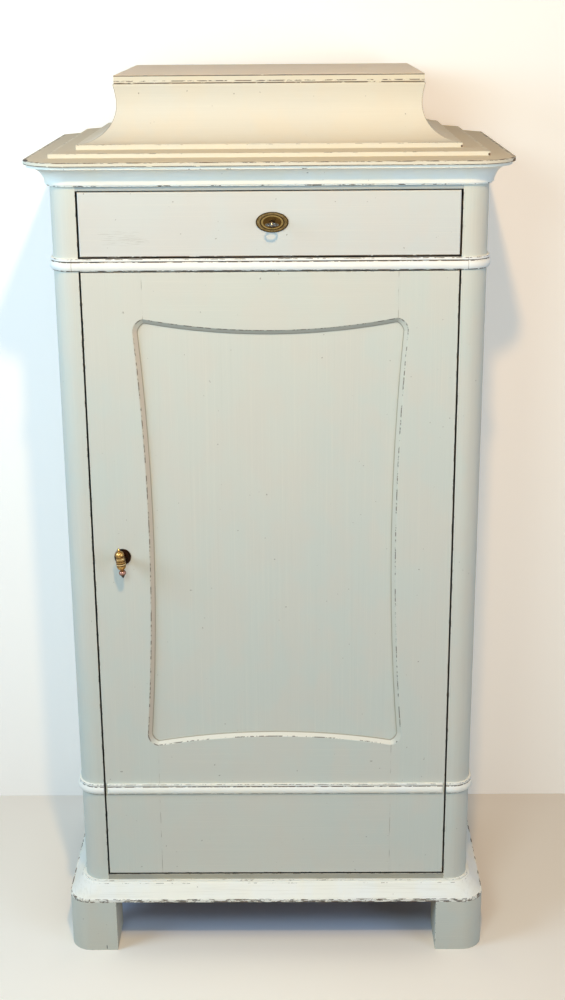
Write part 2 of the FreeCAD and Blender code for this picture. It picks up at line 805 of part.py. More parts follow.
def opening_cutter():
    """What the bevelled opening takes out of the door's frame."""
    body = new_body("opening_cutter")
    sketches = []
    for inset, depth in ((size(0), size(0)), (s.bevel_width, s.bevel_depth)):
        sketch = new_sketch(body, "XZ_Plane", (0, 0, -(face + depth)))
        draw(sketch, opening_outline(inset))
        sketches.append(sketch)
    loft = body.newObject("PartDesign::AdditiveLoft", "opening_bevel")
    loft.Profile = sketches[0]
    loft.Sections = [sketches[1]]
    loft.Ruled = True
    pad(body, "XZ_Plane", (0, 0, -(face + s.bevel_depth)), opening_outline(s.bevel_width),
        s.door_thick, backwards=True)
    return body


def pivot_plate(label, z):
    """A plate let in flush round the pivot axis."""
    end = pivot_x + s.hinge_end
    return board(label, (end - s.hinge_length, end),
                 (pivot_y - s.hinge_width / 3, pivot_y + s.hinge_width * 2 / 3), z)


def hinge_plate(label, z, pin_from, pin_to):
    """The case's plate with its pivot pin."""
    plate = pivot_plate(label + "_plate", z)
    pin = rod(label + "_pin", s.pivot_radius, pin_to - pin_from, (pivot_x, pivot_y, pin_from))
    return plate, fuse(label, plate, pin)


def hinge_socket(label, z):
    """The door's plate, bored for the pivot pin."""
    plate = pivot_plate(label + "_plate", z)
    bore = rod(label + "_bore", s.pivot_radius + s.pivot_play, s.hinge_thick,
               (pivot_x, pivot_y, z[0]))
    return plate, cut(label, plate, bore)


def door():
    stiles_z = (door_foot, door_top)
    deep = (face, door_back)
    cutter = opening_cutter()
    rebate_half = opening_wide + s.panel_rebate
    rebate_z = (opening_low - s.panel_rebate, opening_high + s.panel_rebate)
    panel_y = face + s.panel_set
    rebate = board("panel_rebate_cut", (-rebate_half, rebate_half), (panel_y, door_back), rebate_z)

    # Rails run between the stiles; their tenons give the mortises in the stiles.
    tenon_y = (face + s.door_thick / 2 - s.door_tenon_thick / 2,
               face + s.door_thick / 2 + s.door_tenon_thick / 2)
    tenon_half = stile_inner + s.door_tenon
    rails = []
    for label, board_z, tenon_z in (
            ("door_top_rail", (opening_high - s.rail_bow, door_top),
             (rebate_z[1], door_top - s.door_tenon_inset)),
            ("door_bottom_rail", (door_foot, opening_low + s.rail_bow),
             (door_foot + s.door_tenon_inset, rebate_z[0]))):
        blank = fuse(label + "_blank",
                     board(label + "_board", (-stile_inner, stile_inner), deep, board_z),
                     board(label + "_tenons", (-tenon_half, tenon_half), tenon_y, tenon_z))
        rails.append(cut(label, blank, cutter, rebate))

    # Sockets at the hinge side, and holes for the pins beyond them.
    hole_radius = s.pivot_radius + s.wood_play
    depth = s.pivot_length + s.hinge_thick
    foot_plate, foot_socket = hinge_socket("socket_foot", (door_foot, door_foot + s.hinge_thick))
    top_plate, top_socket = hinge_socket("socket_top", (door_top - s.hinge_thick, door_top))
    group("hinge_sockets", foot_socket, top_socket)
    foot_hole = rod("foot_hole", hole_radius, depth, (pivot_x, pivot_y, door_foot))
    top_hole = rod("top_hole", hole_radius, depth, (pivot_x, pivot_y, door_top - depth))

    # Between the rails the stiles reach further in, as far as the opening's bowed sides.
    strip_z = (opening_low + s.rail_bow, opening_high - s.rail_bow)
    blank = fuse("stile_blank", board("stile_board", (stile_inner, door_half), deep, stiles_z),
                 board("stile_strip", (stile_inner - s.bevel_width, stile_inner), deep, strip_z))
    stile = cut("stile_right_blank", blank, cutter, rebate, *rails)
    left = mirror("stile_left_blank", stile)
    cut("door_stile_right", stile, foot_plate, top_plate, foot_hole, top_hole)
    spindle_hole = rod("spindle_hole", s.spindle_radius + s.wood_play, s.door_thick,
                       (latch_x, face, latch_z), "y")
    cut("door_stile_left", left, spindle_hole)

    panel_half = rebate_half - s.panel_play
    panel_z = (rebate_z[0] + s.panel_play, rebate_z[1] - s.panel_play)
    board("door_panel", (-panel_half, panel_half), (panel_y, panel_y + s.panel_thick), panel_z)
    bead_y = (panel_y + s.panel_thick, door_back)
    bead_side = board("panel_bead_right", (rebate_half - s.panel_bead, rebate_half), bead_y,
                      rebate_z)
    inner_half = rebate_half - s.panel_bead
    bead_foot = board("panel_bead_foot", (-inner_half, inner_half), bead_y,
                      (rebate_z[0], rebate_z[0] + s.panel_bead))
    bead_top = board("panel_bead_top", (-inner_half, inner_half), bead_y,
                     (rebate_z[1] - s.panel_bead, rebate_z[1]))
    group("panel_beads", mirror("panel_bead_left", bead_side), bead_foot, bead_side, bead_top)

    band = new_body("door_band")
    band_half = door_half - s.band_short
    pad(band, "YZ_Plane", (face, band_foot, -band_half), band_profile(size(0), -1), band_half * 2)
    for sign in (1, -1):
        end = band_half * sign
        start = face - s.band_bevel
        far = s.band_bevel * 3
        pocket(band, "XY_Plane", (0, 0, 0),
               [(end, start), (end - far * sign, start - far), (end, start - far)])


door()
foot_recess, hinge_foot = hinge_plate("hinge_foot", (floor - s.hinge_thick, floor),
                                      floor - s.hinge_thick, door_foot + s.pivot_length)
top_recess, hinge_top = hinge_plate("hinge_top", (mid_foot, mid_foot + s.hinge_thick),
                                    door_top - s.pivot_length, mid_foot + s.hinge_thick)
group("hinge_plates", hinge_foot, hinge_top)


# ---------------------------------------------------------------- latch

# Half of the handle's turned outline: height and radius from its middle, from the lower tip
# up, and the radius of the arc to the next point where it is round. For a half length of 25.5.
HANDLE = (
    (-25.5, 0.4), (-21.6, 3), (-20.8, 2.6, 4.17), (-12.8, 3), (-11.6, 3.4, 8.5), (-4.4, 7.5),
    (-3.8, 6.9), (-3, 6.9), (-2.6, 7.8), (-0.8, 7.8), (-0.2, 7), (0.6, 7), (1, 7.7), (2.8, 7.7),
    (3.4, 6.8), (9.8, 6.6), (10.3, 6.1), (10.9, 6.1), (11.4, 6.5, 6.4), (19.6, 3),
    (20.2, 1.7, 2.4), (23.6, 1.3), (25.5, 0.4))
HANDLE_LEAN = -6.5                                   # the handle hangs a little askew, degrees
tongue_face = door_back + s.tongue_gap              # front of the latch tongue


def latch_rosette():
    rim = rod("rosette_rim", s.rosette_radius, s.rosette_thick / 2,
              (latch_x, face - s.rosette_thick / 2, latch_z), "y")
    boss = rod("rosette_boss", s.rosette_radius * 3 / 4, s.rosette_thick,
               (latch_x, face - s.rosette_thick, latch_z), "y")
    bore = rod("rosette_bore", s.spindle_radius + s.pivot_play, s.rosette_thick,
               (latch_x, face - s.rosette_thick, latch_z), "y")
    cut("latch_rosette", fuse("rosette_blank", rim, boss), bore)


def latch_tongue():
    """Spindle through the door, and the tongue behind it, which hangs down when open."""
    start = face - s.handle_out / 2
    spindle = rod("latch_spindle", s.spindle_radius, tongue_face + s.tongue_thick - start,
                  (latch_x, start, latch_z), "y")
    plate = board("tongue_plate", (latch_x - s.tongue_width / 2, latch_x + s.tongue_width / 2),
                  (tongue_face, tongue_face + s.tongue_thick),
                  (latch_z - s.tongue_length, latch_z + s.tongue_width / 2))
    fuse("latch_tongue", spindle, plate)
    return spindle


def latch_handle(spindle):
    scale = s.handle_half / 25.5
    outline = [(size(0), -s.handle_half)]
    for point in HANDLE:
        arc = (scale * point[2], 1) if len(point) == 3 else ()
        outline.append((scale * point[1], scale * point[0]) + arc)
    outline.append((size(0), s.handle_half))
    grip = new_body("handle_grip")
    revolve(grip, "XZ_Plane", (size(0), size(0), size(0)), outline, 360)
    grip.Placement = FreeCAD.Placement(
        FreeCAD.Vector(0, 0, 0), FreeCAD.Rotation(FreeCAD.Vector(0, 1, 0), HANDLE_LEAN))
    place(grip, latch_x, face - s.handle_out, latch_z)
    neck = rod("handle_neck", s.spindle_radius * 1.5,
               s.handle_out - s.rosette_thick - s.rosette_gap,
               (latch_x, face - s.handle_out, latch_z), "y")
    cut("latch_handle", fuse("handle_blank", grip, neck), spindle)


def latch_mortise():
    """The room that the tongue needs in the left post."""
    reach = s.latch_in + s.door_gap
    below = (s.tongue_length * s.tongue_length + s.tongue_width * s.tongue_width / 4
             - reach * reach).root()
    return board("latch_mortise", (latch_x - s.tongue_length - s.latch_play, -opening),
                 (tongue_face - s.latch_play, tongue_face + s.tongue_thick + s.latch_play),
                 (latch_z - below - s.latch_play, latch_z + s.tongue_width / 2 + s.latch_play))


latch_rosette()
latch_handle(latch_tongue())
latch_slot = latch_mortise()
latch_recess = board(
    "latch_recess", (-opening - s.strike_thick, -opening),
    (tongue_face - s.strike_margin, tongue_face + s.tongue_thick + s.strike_margin),
    (latch_z - s.tongue_length, latch_z + s.tongue_length / 2))


# ---------------------------------------------------------------- drawer

key_z = drawer_foot + s.key_up
side_top = drawer_top - s.drawer_side_low
drawer_end = back_face - s.drawer_clear
front_rear = face + s.drawer_front_thick
drawer_inner = door_half - s.drawer_side_thick
lock_front = front_rear - s.lock_depth
lock_low = key_z - s.lock_foot
bolt_y = (lock_front + s.lock_wall * 2, lock_front + s.lock_wall * 2 + s.bolt_thick)


def drawer_side():
    """A side with three dovetails at each end."""
    body = new_body("side_with_tails")
    pitch = (side_top - drawer_foot) / 3
    tip = front_rear - s.drawer_side_lap
    rear_root = drawer_end - s.drawer_side_thick
    front_run = []
    rear_run = []
    for number in range(3):
        middle = drawer_foot + pitch * number + pitch / 2
        narrow = (middle - s.tail_narrow / 2, middle + s.tail_narrow / 2)
        wide = (middle - s.tail_wide / 2, middle + s.tail_wide / 2)
        front_run += [(front_rear, narrow[0]), (tip, wide[0]), (tip, wide[1]),
                      (front_rear, narrow[1])]
        rear_run += [(rear_root, narrow[0]), (drawer_end, wide[0]), (drawer_end, wide[1]),
                     (rear_root, narrow[1])]
    outline = [(front_rear, drawer_foot), (rear_root, drawer_foot)] + rear_run
    outline += [(rear_root, side_top), (front_rear, side_top)] + front_run[::-1]
    pad(body, "YZ_Plane", (0, 0, drawer_inner), outline, s.drawer_side_thick)
    return body


def drawer_front_board():
    """The front with its outer edges rounded: one pad gives the upright edges, one the others."""
    edge = s.drawer_edge
    upright = new_body("front_plan")
    pad(upright, "XY_Plane", (0, 0, drawer_foot),
        [(-door_half, front_rear), (-door_half, face + edge, edge, 1), (edge - door_half, face),
         (door_half - edge, face, edge, 1), (door_half, face + edge), (door_half, front_rear)],
        s.drawer_height)
    level = new_body("front_section")
    pad(level, "YZ_Plane", (0, 0, -door_half),
        [(front_rear, drawer_foot), (front_rear, drawer_top), (face + edge, drawer_top, edge, 1),
         (face, drawer_top - edge), (face, drawer_foot + edge, edge, 1),
         (face + edge, drawer_foot)], door_half * 2)
    return common("drawer_front_blank", upright, level)


def keyhole(label, radius, y):
    """Round hole for the shank, and the slot below it that the bit goes through."""
    hole = rod(label + "_hole", radius, y[1] - y[0], (s.key_side, y[0], key_z), "y")
    slot = board(label + "_slot",
                 (s.key_side - s.bit_thick, s.key_side + s.bit_thick), y,
                 (key_z - s.bit_length - s.wood_play, key_z))
    return fuse(label, hole, slot)


def lock():
    """Case and cover in one node, bolt, and what they take out of the drawer front."""
    across = (s.key_side - s.lock_width / 2, s.key_side + s.lock_width / 2)
    cover_y = (front_rear - s.lock_wall, front_rear)
    pocket_box = board("lock_pocket", across, (lock_front, front_rear), (lock_low, drawer_top))
    shell = board("lock_shell", across, (lock_front, cover_y[0]), (lock_low, drawer_top))
    inside = board("lock_inside", (across[0] + s.lock_wall, across[1] - s.lock_wall),
                   (lock_front + s.lock_wall, cover_y[0]),
                   (lock_low + s.lock_wall, drawer_top - s.lock_wall))
    bolt_x = (s.key_side - s.bolt_width / 2, s.key_side + s.bolt_width / 2)
    bolt_foot = key_z + s.key_radius + s.wood_play
    board("lock_bolt", bolt_x, bolt_y, (bolt_foot, drawer_top - s.bolt_play))
    slot = board("bolt_slot", (bolt_x[0] - s.bolt_play, bolt_x[1] + s.bolt_play),
                 (bolt_y[0] - s.bolt_play, bolt_y[1] + s.bolt_play), (bolt_foot, drawer_top))
    bearing = keyhole("lock_keyhole", s.key_radius + s.pivot_play,
                      (lock_front, lock_front + s.lock_wall))
    case = cut("lock_shell_cut", shell, inside, slot, bearing)
    group("lock_case", case, board("lock_cover", across, cover_y, (lock_low, drawer_top)))
    return pocket_box


def oval(label, inset, y):
    """An upright oval plate round the keyhole."""
    ring = doc.addObject("Part::Ellipse", label + "_outline")
    bind(ring, "MajorRadius", s.plate_width / 2 - inset)
    bind(ring, "MinorRadius", s.plate_height / 2 - inset)
    ring.Placement = FreeCAD.Placement(
        FreeCAD.Vector(0, 0, 0), FreeCAD.Rotation(FreeCAD.Vector(1, 0, 0), 90))
    place(ring, s.key_side, y[1], key_z)
    plate = doc.addObject("Part::Extrusion", label)
    plate.Base = ring
    plate.DirMode = "Custom"
    plate.Dir = FreeCAD.Vector(0, -1, 0)
    plate.Solid = True
    bind(plate, "LengthFwd", y[1] - y[0])
    return plate


def escutcheon():
    rim = oval("oval_rim", size(0), (face - s.plate_thick, face))
    middle = oval("oval_middle", s.plate_step, (face - s.plate_thick - s.plate_rise, face))
    through = keyhole("escutcheon_keyhole", s.key_radius + s.wood_play,
                      (face - s.plate_thick * 3, face))
    cut("escutcheon", fuse("escutcheon_blank", rim, middle), through)


def drawer_key():
    """Shank, bit to the left and an oval bow in front, level when the drawer is unlocked."""
    bow = new_body("key_bow")
    centre_y = face - s.key_out - s.bow_long / 2 + s.bow_wire
    spine = new_sketch(bow, "XY_Plane", (s.key_side, centre_y, key_z))
    wide = s.bow_wide / 2 - s.bow_wire
    long = s.bow_long / 2 - s.bow_wire
    ring = spine.addGeometry(Part.Ellipse(
        FreeCAD.Vector(wide.number, 0, 0), FreeCAD.Vector(0, long.number, 0),
        FreeCAD.Vector(0, 0, 0)), False)
    spine.exposeInternalGeometry(ring)
    spine.addConstraint(Sketcher.Constraint("Coincident", ring, 3, -1, 1))
    spine.addConstraint(Sketcher.Constraint("Horizontal", ring + 1))
    constrain(spine, "Distance", (ring + 1,), wide * 2)
    constrain(spine, "Distance", (ring + 2,), long * 2)
    wire = new_sketch(bow, "XZ_Plane", (s.key_side + wide, key_z, -centre_y))
    circle = wire.addGeometry(Part.Circle(
        FreeCAD.Vector(0, 0, 0), FreeCAD.Vector(0, 0, 1), s.bow_wire.number), False)
    wire.addConstraint(Sketcher.Constraint("Coincident", circle, 3, -1, 1))
    constrain(wire, "Radius", (circle,), s.bow_wire)
    sweep = bow.newObject("PartDesign::AdditivePipe", "key_bow_pipe")
    sweep.Profile = wire
    sweep.Spine = spine
    tip = front_rear - s.lock_wall - s.bolt_play * 2
    shank = rod("key_shank", s.key_radius, tip - face + s.key_out,
                (s.key_side, face - s.key_out, key_z), "y")
    bit_y = (bolt_y[0] + s.bolt_play / 2, bolt_y[0] + s.bolt_play / 2 + s.bit_height)
    bit = board("key_bit", (s.key_side - s.bit_length, s.key_side), bit_y,
                (key_z - s.bit_thick / 2, key_z + s.bit_thick / 2))
    fuse("drawer_key", bow, shank, bit)


def drawer():
    side = drawer_side()
    bottom_half = drawer_inner + s.drawer_groove
    bottom_z = (drawer_foot + s.drawer_bottom_up,
                drawer_foot + s.drawer_bottom_up + s.drawer_bottom_thick)
    bottom = board("drawer_bottom", (-bottom_half, bottom_half),
                   (front_rear - s.drawer_groove, drawer_end), bottom_z)
    left = mirror("tailed_side_left", side)
    mirror("drawer_side_left", cut("drawer_side_right", side, bottom))
    cut("drawer_back", board("drawer_back_board", (-door_half, door_half),
                             (drawer_end - s.drawer_side_thick, drawer_end),
                             (bottom_z[1], side_top)), side, left)
    lock_pocket = lock()
    through = keyhole("front_keyhole", s.key_radius + s.wood_play, (face, lock_front))
    cut("drawer_front", drawer_front_board(), side, left, bottom, lock_pocket, through)
    escutcheon()
    drawer_key()


drawer()
lock_mortise = board(
    "lock_mortise",
    (s.key_side - s.bolt_width / 2 - s.latch_play, s.key_side + s.bolt_width / 2 + s.latch_play),
    (bolt_y[0] - s.bolt_play * 2, bolt_y[1] + s.bolt_play * 2),
    (top_rail_foot, top_rail_foot + s.bolt_throw + s.latch_play * 2))
lock_recess = board(
    "lock_recess", (s.key_side - s.lock_width / 2, s.key_side + s.lock_width / 2),
    (bolt_y[0] - s.bolt_thick, front_rear), (top_rail_foot, top_rail_foot + s.strike_thick))


# ---------------------------------------------------------------- joints and cut-outs of the case

def finish_case():
    """Posts, sides, rails and boards with the mortises and recesses of what meets them."""
    post_left = mirror("post_blank_left", post_blank)
    cut("post_right", post_blank, mid_rail_blank, top_rail_blank)
    cut("post_left", post_left, mid_rail_blank, top_rail_blank, latch_slot, latch_recess)
    mirror("side_left", cut("side_right", side_blank, back_panel))
    cut("case_bottom", bottom_blank, foot_recess)
    cut("mid_rail", mid_rail_blank, dust, top_recess)
    cut("top_rail", top_rail_blank, lock_mortise, lock_recess)
    group("strike_plates", cut("latch_strike", latch_recess, latch_slot),
          cut("lock_strike", lock_recess, lock_mortise))


finish_case()
doc.recompute()


# ---------------------------------------------------------------- one file for each sub-part

NODES = (
    "foot_front_left", "foot_front_right", "feet_back",
    "base_moulding_front", "base_moulding_left", "base_moulding_right",
    "post_left", "post_right", "side_left", "side_right", "back_boards",
    "case_bottom", "case_top", "top_rail", "mid_rail", "dust_board",
    "drawer_runners", "drawer_stops", "shelf_1", "shelf_2", "shelf_3", "shelf_cleats",
    "post_band_left", "post_band_right",
    "mid_moulding_front", "mid_moulding_left", "mid_moulding_right",
    "cornice_moulding_front", "cornice_moulding_left", "cornice_moulding_right",
    "cornice_board", "hood_step_lower", "hood_step_upper",
    "hood_cove_front", "hood_cove_left", "hood_cove_right", "hood_top", "hood_back",
    "hinge_plates", "strike_plates",
    "door_stile_left", "door_stile_right", "door_top_rail", "door_bottom_rail",
    "door_panel", "panel_beads", "door_band", "hinge_sockets", "latch_rosette",
    "latch_handle", "latch_tongue",
    "drawer_front", "drawer_side_left", "drawer_side_right", "drawer_back", "drawer_bottom",
    "escutcheon", "lock_case", "lock_bolt", "drawer_key")


def export(label):
    part = doc.getObject(label)
    part.Label = label
    if "Invalid" in part.State or not part.Shape.isValid():
        raise ValueError("%s is not valid" % label)
    part.Shape.exportStep(os.path.join("parts", label + ".step"))


for thing in doc.Objects:
    if "Invalid" in thing.State or "Error" in thing.State:
        raise ValueError("%s has an error" % thing.Label)
os.makedirs("parts", exist_ok=True)
for name in NODES:
    export(name)
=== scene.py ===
import bmesh
import bpy
import math
from mathutils import Matrix, Vector


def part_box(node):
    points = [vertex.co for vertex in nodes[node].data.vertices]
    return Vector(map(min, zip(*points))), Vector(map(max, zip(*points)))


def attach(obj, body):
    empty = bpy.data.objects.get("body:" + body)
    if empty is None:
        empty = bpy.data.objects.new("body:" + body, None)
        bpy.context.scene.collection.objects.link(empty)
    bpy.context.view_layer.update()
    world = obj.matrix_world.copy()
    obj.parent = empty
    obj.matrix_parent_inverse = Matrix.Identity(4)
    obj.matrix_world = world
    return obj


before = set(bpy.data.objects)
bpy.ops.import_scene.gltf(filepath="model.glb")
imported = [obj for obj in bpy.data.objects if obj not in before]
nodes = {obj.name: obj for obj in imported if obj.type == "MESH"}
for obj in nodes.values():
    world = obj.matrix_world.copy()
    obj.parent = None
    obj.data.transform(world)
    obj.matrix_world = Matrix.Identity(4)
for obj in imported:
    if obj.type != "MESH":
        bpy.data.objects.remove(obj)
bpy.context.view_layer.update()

# ---------------------------------------------------------------- camera, room and light
# The cabinet stands on a pale floor, 5 cm from a white wall. The camera looks down on it from the
# front. A warm lamp hangs over the camera, and cool windows are on the left, in front and on the right.

EYE = (0.0359, -2.4909, 1.5689)
LOOK_DOWN = math.radians(18.356)
LOOK_LEFT = math.radians(0.488)
LOOK_TILT = math.radians(-0.444)
LENS_MM = 54.604
WALL_Y = 0.30
ROOM_HALF = 4.0
DOME_FRONT = (0.12, 0.12, 0.12, 1)
DOME_BACK = (0.30, 0.30, 0.30, 1)


def tone(red, green, blue):
    """A colour of a paint card, 0 to 255 each, as a linear colour."""
    parts = [c / 255 for c in (red, green, blue)]
    return tuple(c / 12.92 if c < 0.04 else ((c + 0.055) / 1.055) ** 2.4 for c in parts) + (1.0,)


def step(finish, kind, sockets, result=0, **settings):
    """Adds a node to a finish and gives its output. A socket takes a value or another node's output."""
    node = finish.node_tree.nodes.new("ShaderNode" + kind)
    for name, value in settings.items():
        setattr(node, name, value)
    for name, value in sockets.items():
        if isinstance(value, bpy.types.NodeSocket):
            finish.node_tree.links.new(value, node.inputs[name])
        else:
            node.inputs[name].default_value = value
    return node.outputs[result]


def reckon(finish, operation, first, second=0.0):
    return step(finish, "Math", {0: first, 1: second}, operation=operation)


def from_to(finish, value, low, high, smooth="SMOOTHSTEP"):
    """0 at low, 1 at high, eased in between. Low may be the larger of the two."""
    return step(finish, "MapRange", {"Value": value, 1: low, 2: high}, interpolation_type=smooth)


def over(finish, share, under, upper, how="MIX"):
    """Lays the upper colour over the one under it, by a share from 0 to 1."""
    return step(finish, "Mix", {0: share, 6: under, 7: upper}, result=2, data_type="RGBA",
                blend_type=how)


def spot_on(finish):
    return step(finish, "TexCoord", {}, result="Object")


def along(finish, axis):
    """The place on the piece along X, Y or Z, in metres."""
    return step(finish, "SeparateXYZ", {0: spot_on(finish)}, result=axis)


def off_middle(finish):
    """How far the place is from the middle of the cabinet, to either side."""
    return reckon(finish, "ABSOLUTE", along(finish, "X"))


def new_finish(name):
    finish = bpy.data.materials.new(name)
    finish.use_nodes = True
    return finish, finish.node_tree.nodes["Principled BSDF"]


def set_surface(finish, shader):
    output = finish.node_tree.nodes["Material Output"]
    finish.node_tree.links.new(shader, output.inputs["Surface"])


def seen_rays(finish):
    """1 for the rays of the camera and of gloss and glass, 0 for the light that goes round the room."""
    direct = step(finish, "LightPath", {}, result="Is Camera Ray")
    gloss = step(finish, "LightPath", {}, result="Is Glossy Ray")
    through = step(finish, "LightPath", {}, result="Is Transmission Ray")
    return reckon(finish, "MAXIMUM", reckon(finish, "MAXIMUM", direct, gloss), through)


# A painted cool shadow for the floor under the cabinet.
SHADE = tone(202, 215, 240)


def room_finish(name, left, right, dim, glow):
    """Whitewash, with painted warm light towards the right and a painted cool shadow under the cabinet. It
    throws back less light than it shows. A glow for the camera lifts it, held back under and close behind
    the cabinet as painted shade.
    """
    finish, _ = new_finish(name)
    across = from_to(finish, along(finish, "X"), -0.55, 0.75)
    seen = seen_rays(finish)
    shown = over(finish, shadow_under_case(finish), over(finish, across, left, right), SHADE)
    wash = step(finish, "BsdfDiffuse", {"Color": over(finish, seen, dim, shown)})
    strength = reckon(finish, "MULTIPLY", seen, glow_outside_shade(finish))
    lift = step(finish, "Emission", {"Color": glow, "Strength": strength})
    return finish, step(finish, "AddShader", {0: wash, 1: lift})


def shadow_under_case(finish):
    """Where the painted cool shadow lies: 1 on the floor between the feet, 0 elsewhere."""
    between = from_to(finish, off_middle(finish), 0.37, 0.30)
    back = from_to(finish, along(finish, "Y"), -0.215, -0.165)
    low = from_to(finish, along(finish, "Z"), 0.02, 0.01)
    return reckon(finish, "MULTIPLY", reckon(finish, "MULTIPLY", between, back), low)


def glow_outside_shade(finish):
    """Where the camera glow shows: 1 in the open, 0 under the cabinet and close behind it, which leaves
    painted shade there.
    """
    beside = from_to(finish, off_middle(finish), 0.26, 0.42)
    before = from_to(finish, along(finish, "Y"), -0.12, -0.34)
    above = from_to(finish, along(finish, "Z"), 0.08, 0.25)
    return reckon(finish, "MAXIMUM", reckon(finish, "MAXIMUM", beside, before), above)


def room_piece(name, corners, finish):
    form = bmesh.new()
    form.faces.new([form.verts.new(corner) for corner in corners])
    mesh = bpy.data.meshes.new(name)
    form.to_mesh(mesh)
    form.free()
    piece = bpy.data.objects.new(name, mesh)
    bpy.context.scene.collection.objects.link(piece)
    mesh.materials.append(finish)
    return piece


floor_wash, floor_shader = room_finish("floor_wash", tone(248, 246, 240), tone(240, 232, 222),
                                       tone(190, 186, 178), (0.15, 0.115, 0.07, 1))
set_surface(floor_wash, floor_shader)
room_piece("floor", [(-ROOM_HALF, -ROOM_HALF, 0), (ROOM_HALF, -ROOM_HALF, 0),
                     (ROOM_HALF, ROOM_HALF, 0), (-ROOM_HALF, ROOM_HALF, 0)], floor_wash)
wall_wash, wall_shader = room_finish("wall_wash", tone(252, 252, 252), tone(250, 244, 236),
                                     tone(215, 215, 213), (0.26, 0.24, 0.20, 1))
behind_wall = step(wall_wash, "NewGeometry", {}, result="Backfacing")
clear = step(wall_wash, "BsdfTransparent", {})
set_surface(wall_wash, step(wall_wash, "MixShader", {0: behind_wall, 1: wall_shader, 2: clear}))
wall = room_piece("wall", [(-ROOM_HALF, WALL_Y, 0), (ROOM_HALF, WALL_Y, 0),
                           (ROOM_HALF, WALL_Y, ROOM_HALF), (-ROOM_HALF, WALL_Y, ROOM_HALF)], wall_wash)
wall.visible_shadow = False
wall.visible_diffuse = False

camera = bpy.data.objects.new("camera", bpy.data.cameras.new("camera"))
camera.data.sensor_fit = "VERTICAL"
camera.data.sensor_height = 36.0
camera.data.lens = LENS_MM
camera.matrix_world = (Matrix.Translation(EYE) @ Matrix.Rotation(LOOK_LEFT, 4, "Z")
                       @ Matrix.Rotation(math.pi / 2 - LOOK_DOWN, 4, "X")
                       @ Matrix.Rotation(LOOK_TILT, 4, "Z"))
bpy.context.scene.collection.objects.link(camera)
bpy.context.scene.camera = camera


def soft_lamp(name, place, aim, size, power, colour):
    lamp = bpy.data.objects.new(name, bpy.data.lights.new(name, "AREA"))
    lamp.data.shape = "DISK"
    lamp.data.size = size
    lamp.data.energy = power
    lamp.data.color = colour
    turn = (Vector(aim) - Vector(place)).to_track_quat("-Z", "Y")
    lamp.matrix_world = Matrix.Translation(place) @ turn.to_matrix().to_4x4()
    bpy.context.scene.collection.objects.link(lamp)


soft_lamp("ceiling_lamp", (0.10, -1.60, 2.35), (0.0, -0.2, 0.75), 0.09, 19.2, (1.0, 0.625, 0.26))
soft_lamp("front_window", (-0.4, -1.9, 1.75), (0.0, -0.2, 1.3), 0.5, 10.0, (0.69, 0.93, 1.0))
soft_lamp("left_window", (-2.0, -1.1, 1.75), (0.0, -0.2, 1.1), 1.2, 33.0, (0.50, 0.76, 1.0))
soft_lamp("right_window", (1.6, -1.6, 1.2), (0.0, -0.2, 0.8), 1.2, 13.3, (0.59, 0.77, 1.0))

world = bpy.data.worlds.new("room")
bpy.context.scene.world = world
world.use_nodes = True
way_out = step(world, "TexCoord", {}, result="Generated")
to_back = from_to(world, step(world, "SeparateXYZ", {0: way_out}, result="Y"), -0.1, 0.1)
dome = over(world, to_back, DOME_FRONT, DOME_BACK)
sky = world.node_tree.nodes["Background"]
world.node_tree.links.new(over(world, seen_rays(world), dome, (1, 1, 1, 1)), sky.inputs["Color"])
bpy.context.scene.view_settings.view_transform = "Standard"

# ---------------------------------------------------------------- feet
# Four sawn pine blocks, the front two with a rounded outer corner, glued under the base moulding.
# Pale grey matt paint, brushed on by hand, rubbed to the wood on the lower edges.

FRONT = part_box("door_panel")[0].y - 0.007
GREY = tone(218, 218, 206)
GREY_COOL = tone(213, 217, 207)
GREY_WARM = tone(221, 215, 202)
RIM = tone(246, 240, 222)
WEAR_AND_SHADE_BROWN = tone(98, 77, 55)
WEAR_AND_SHADE_DARK = tone(52, 41, 33)
PINE = tone(196, 158, 110)
PINE_DARK = tone(150, 108, 66)
BRUSH_HAIR = (0.22, 0.0016)
WORN_DASH = (0.016, 0.004)
PORE = (0.05, 0.0007)


def drawn_out(way, length, across):
    """The sizes along X, Y and Z of something with its length along way."""
    return [length if axis == way else across for axis in "XYZ"]


def grain(finish, sizes, detail=2.0, rough=0.5, shift=0.0):
    """Cloudy noise whose patches have the given sizes along X, Y and Z, in metres."""
    place = step(finish, "Mapping", {"Vector": spot_on(finish), "Location": (shift, shift * 2, shift),
                                     "Scale": [1 / size for size in sizes]})
    return step(finish, "TexNoise", {"Vector": place, "Scale": 1.0, "Detail": detail,
                                     "Roughness": rough})


def edges(finish, reach):
    """0 on the flat of a piece, 1 on its arrises and in its corners."""
    eased = step(finish, "Bevel", {"Radius": reach}, samples=8)
    straight = step(finish, "NewGeometry", {}, result="Normal")
    same = step(finish, "VectorMath", {0: eased, 1: straight}, result="Value",
                operation="DOT_PRODUCT")
    return from_to(finish, same, 0.99, 0.80)


def line_at(finish, axis, place, half_width):
    """1 on a level line across the piece, 0 beside it."""
    off = reckon(finish, "ABSOLUTE", reckon(finish, "SUBTRACT", along(finish, axis), place))
    return from_to(finish, off, half_width, half_width * 0.6)


def wear_and_shade_line(finish, way, axis, place, half_width, share):
    """A level line in dashes, where the given share of the paint is worn off to the wood; in grooves and
    under mouldings the same dashes are painted shade.
    """
    dashes = grain(finish, drawn_out(way, *WORN_DASH), detail=3.0, rough=0.7, shift=7.0 + place * 3)
    limit = 0.68 - 0.36 * share
    return product(finish, [line_at(finish, axis, place, half_width),
                            from_to(finish, dashes, limit, limit + 0.04)])


def most(finish, masks):
    result = masks[0]
    for mask in masks[1:]:
        result = reckon(finish, "MAXIMUM", result, mask)
    return result


def product(finish, masks):
    result = masks[0]
    for mask in masks[1:]:
        result = reckon(finish, "MULTIPLY", result, mask)
    return result


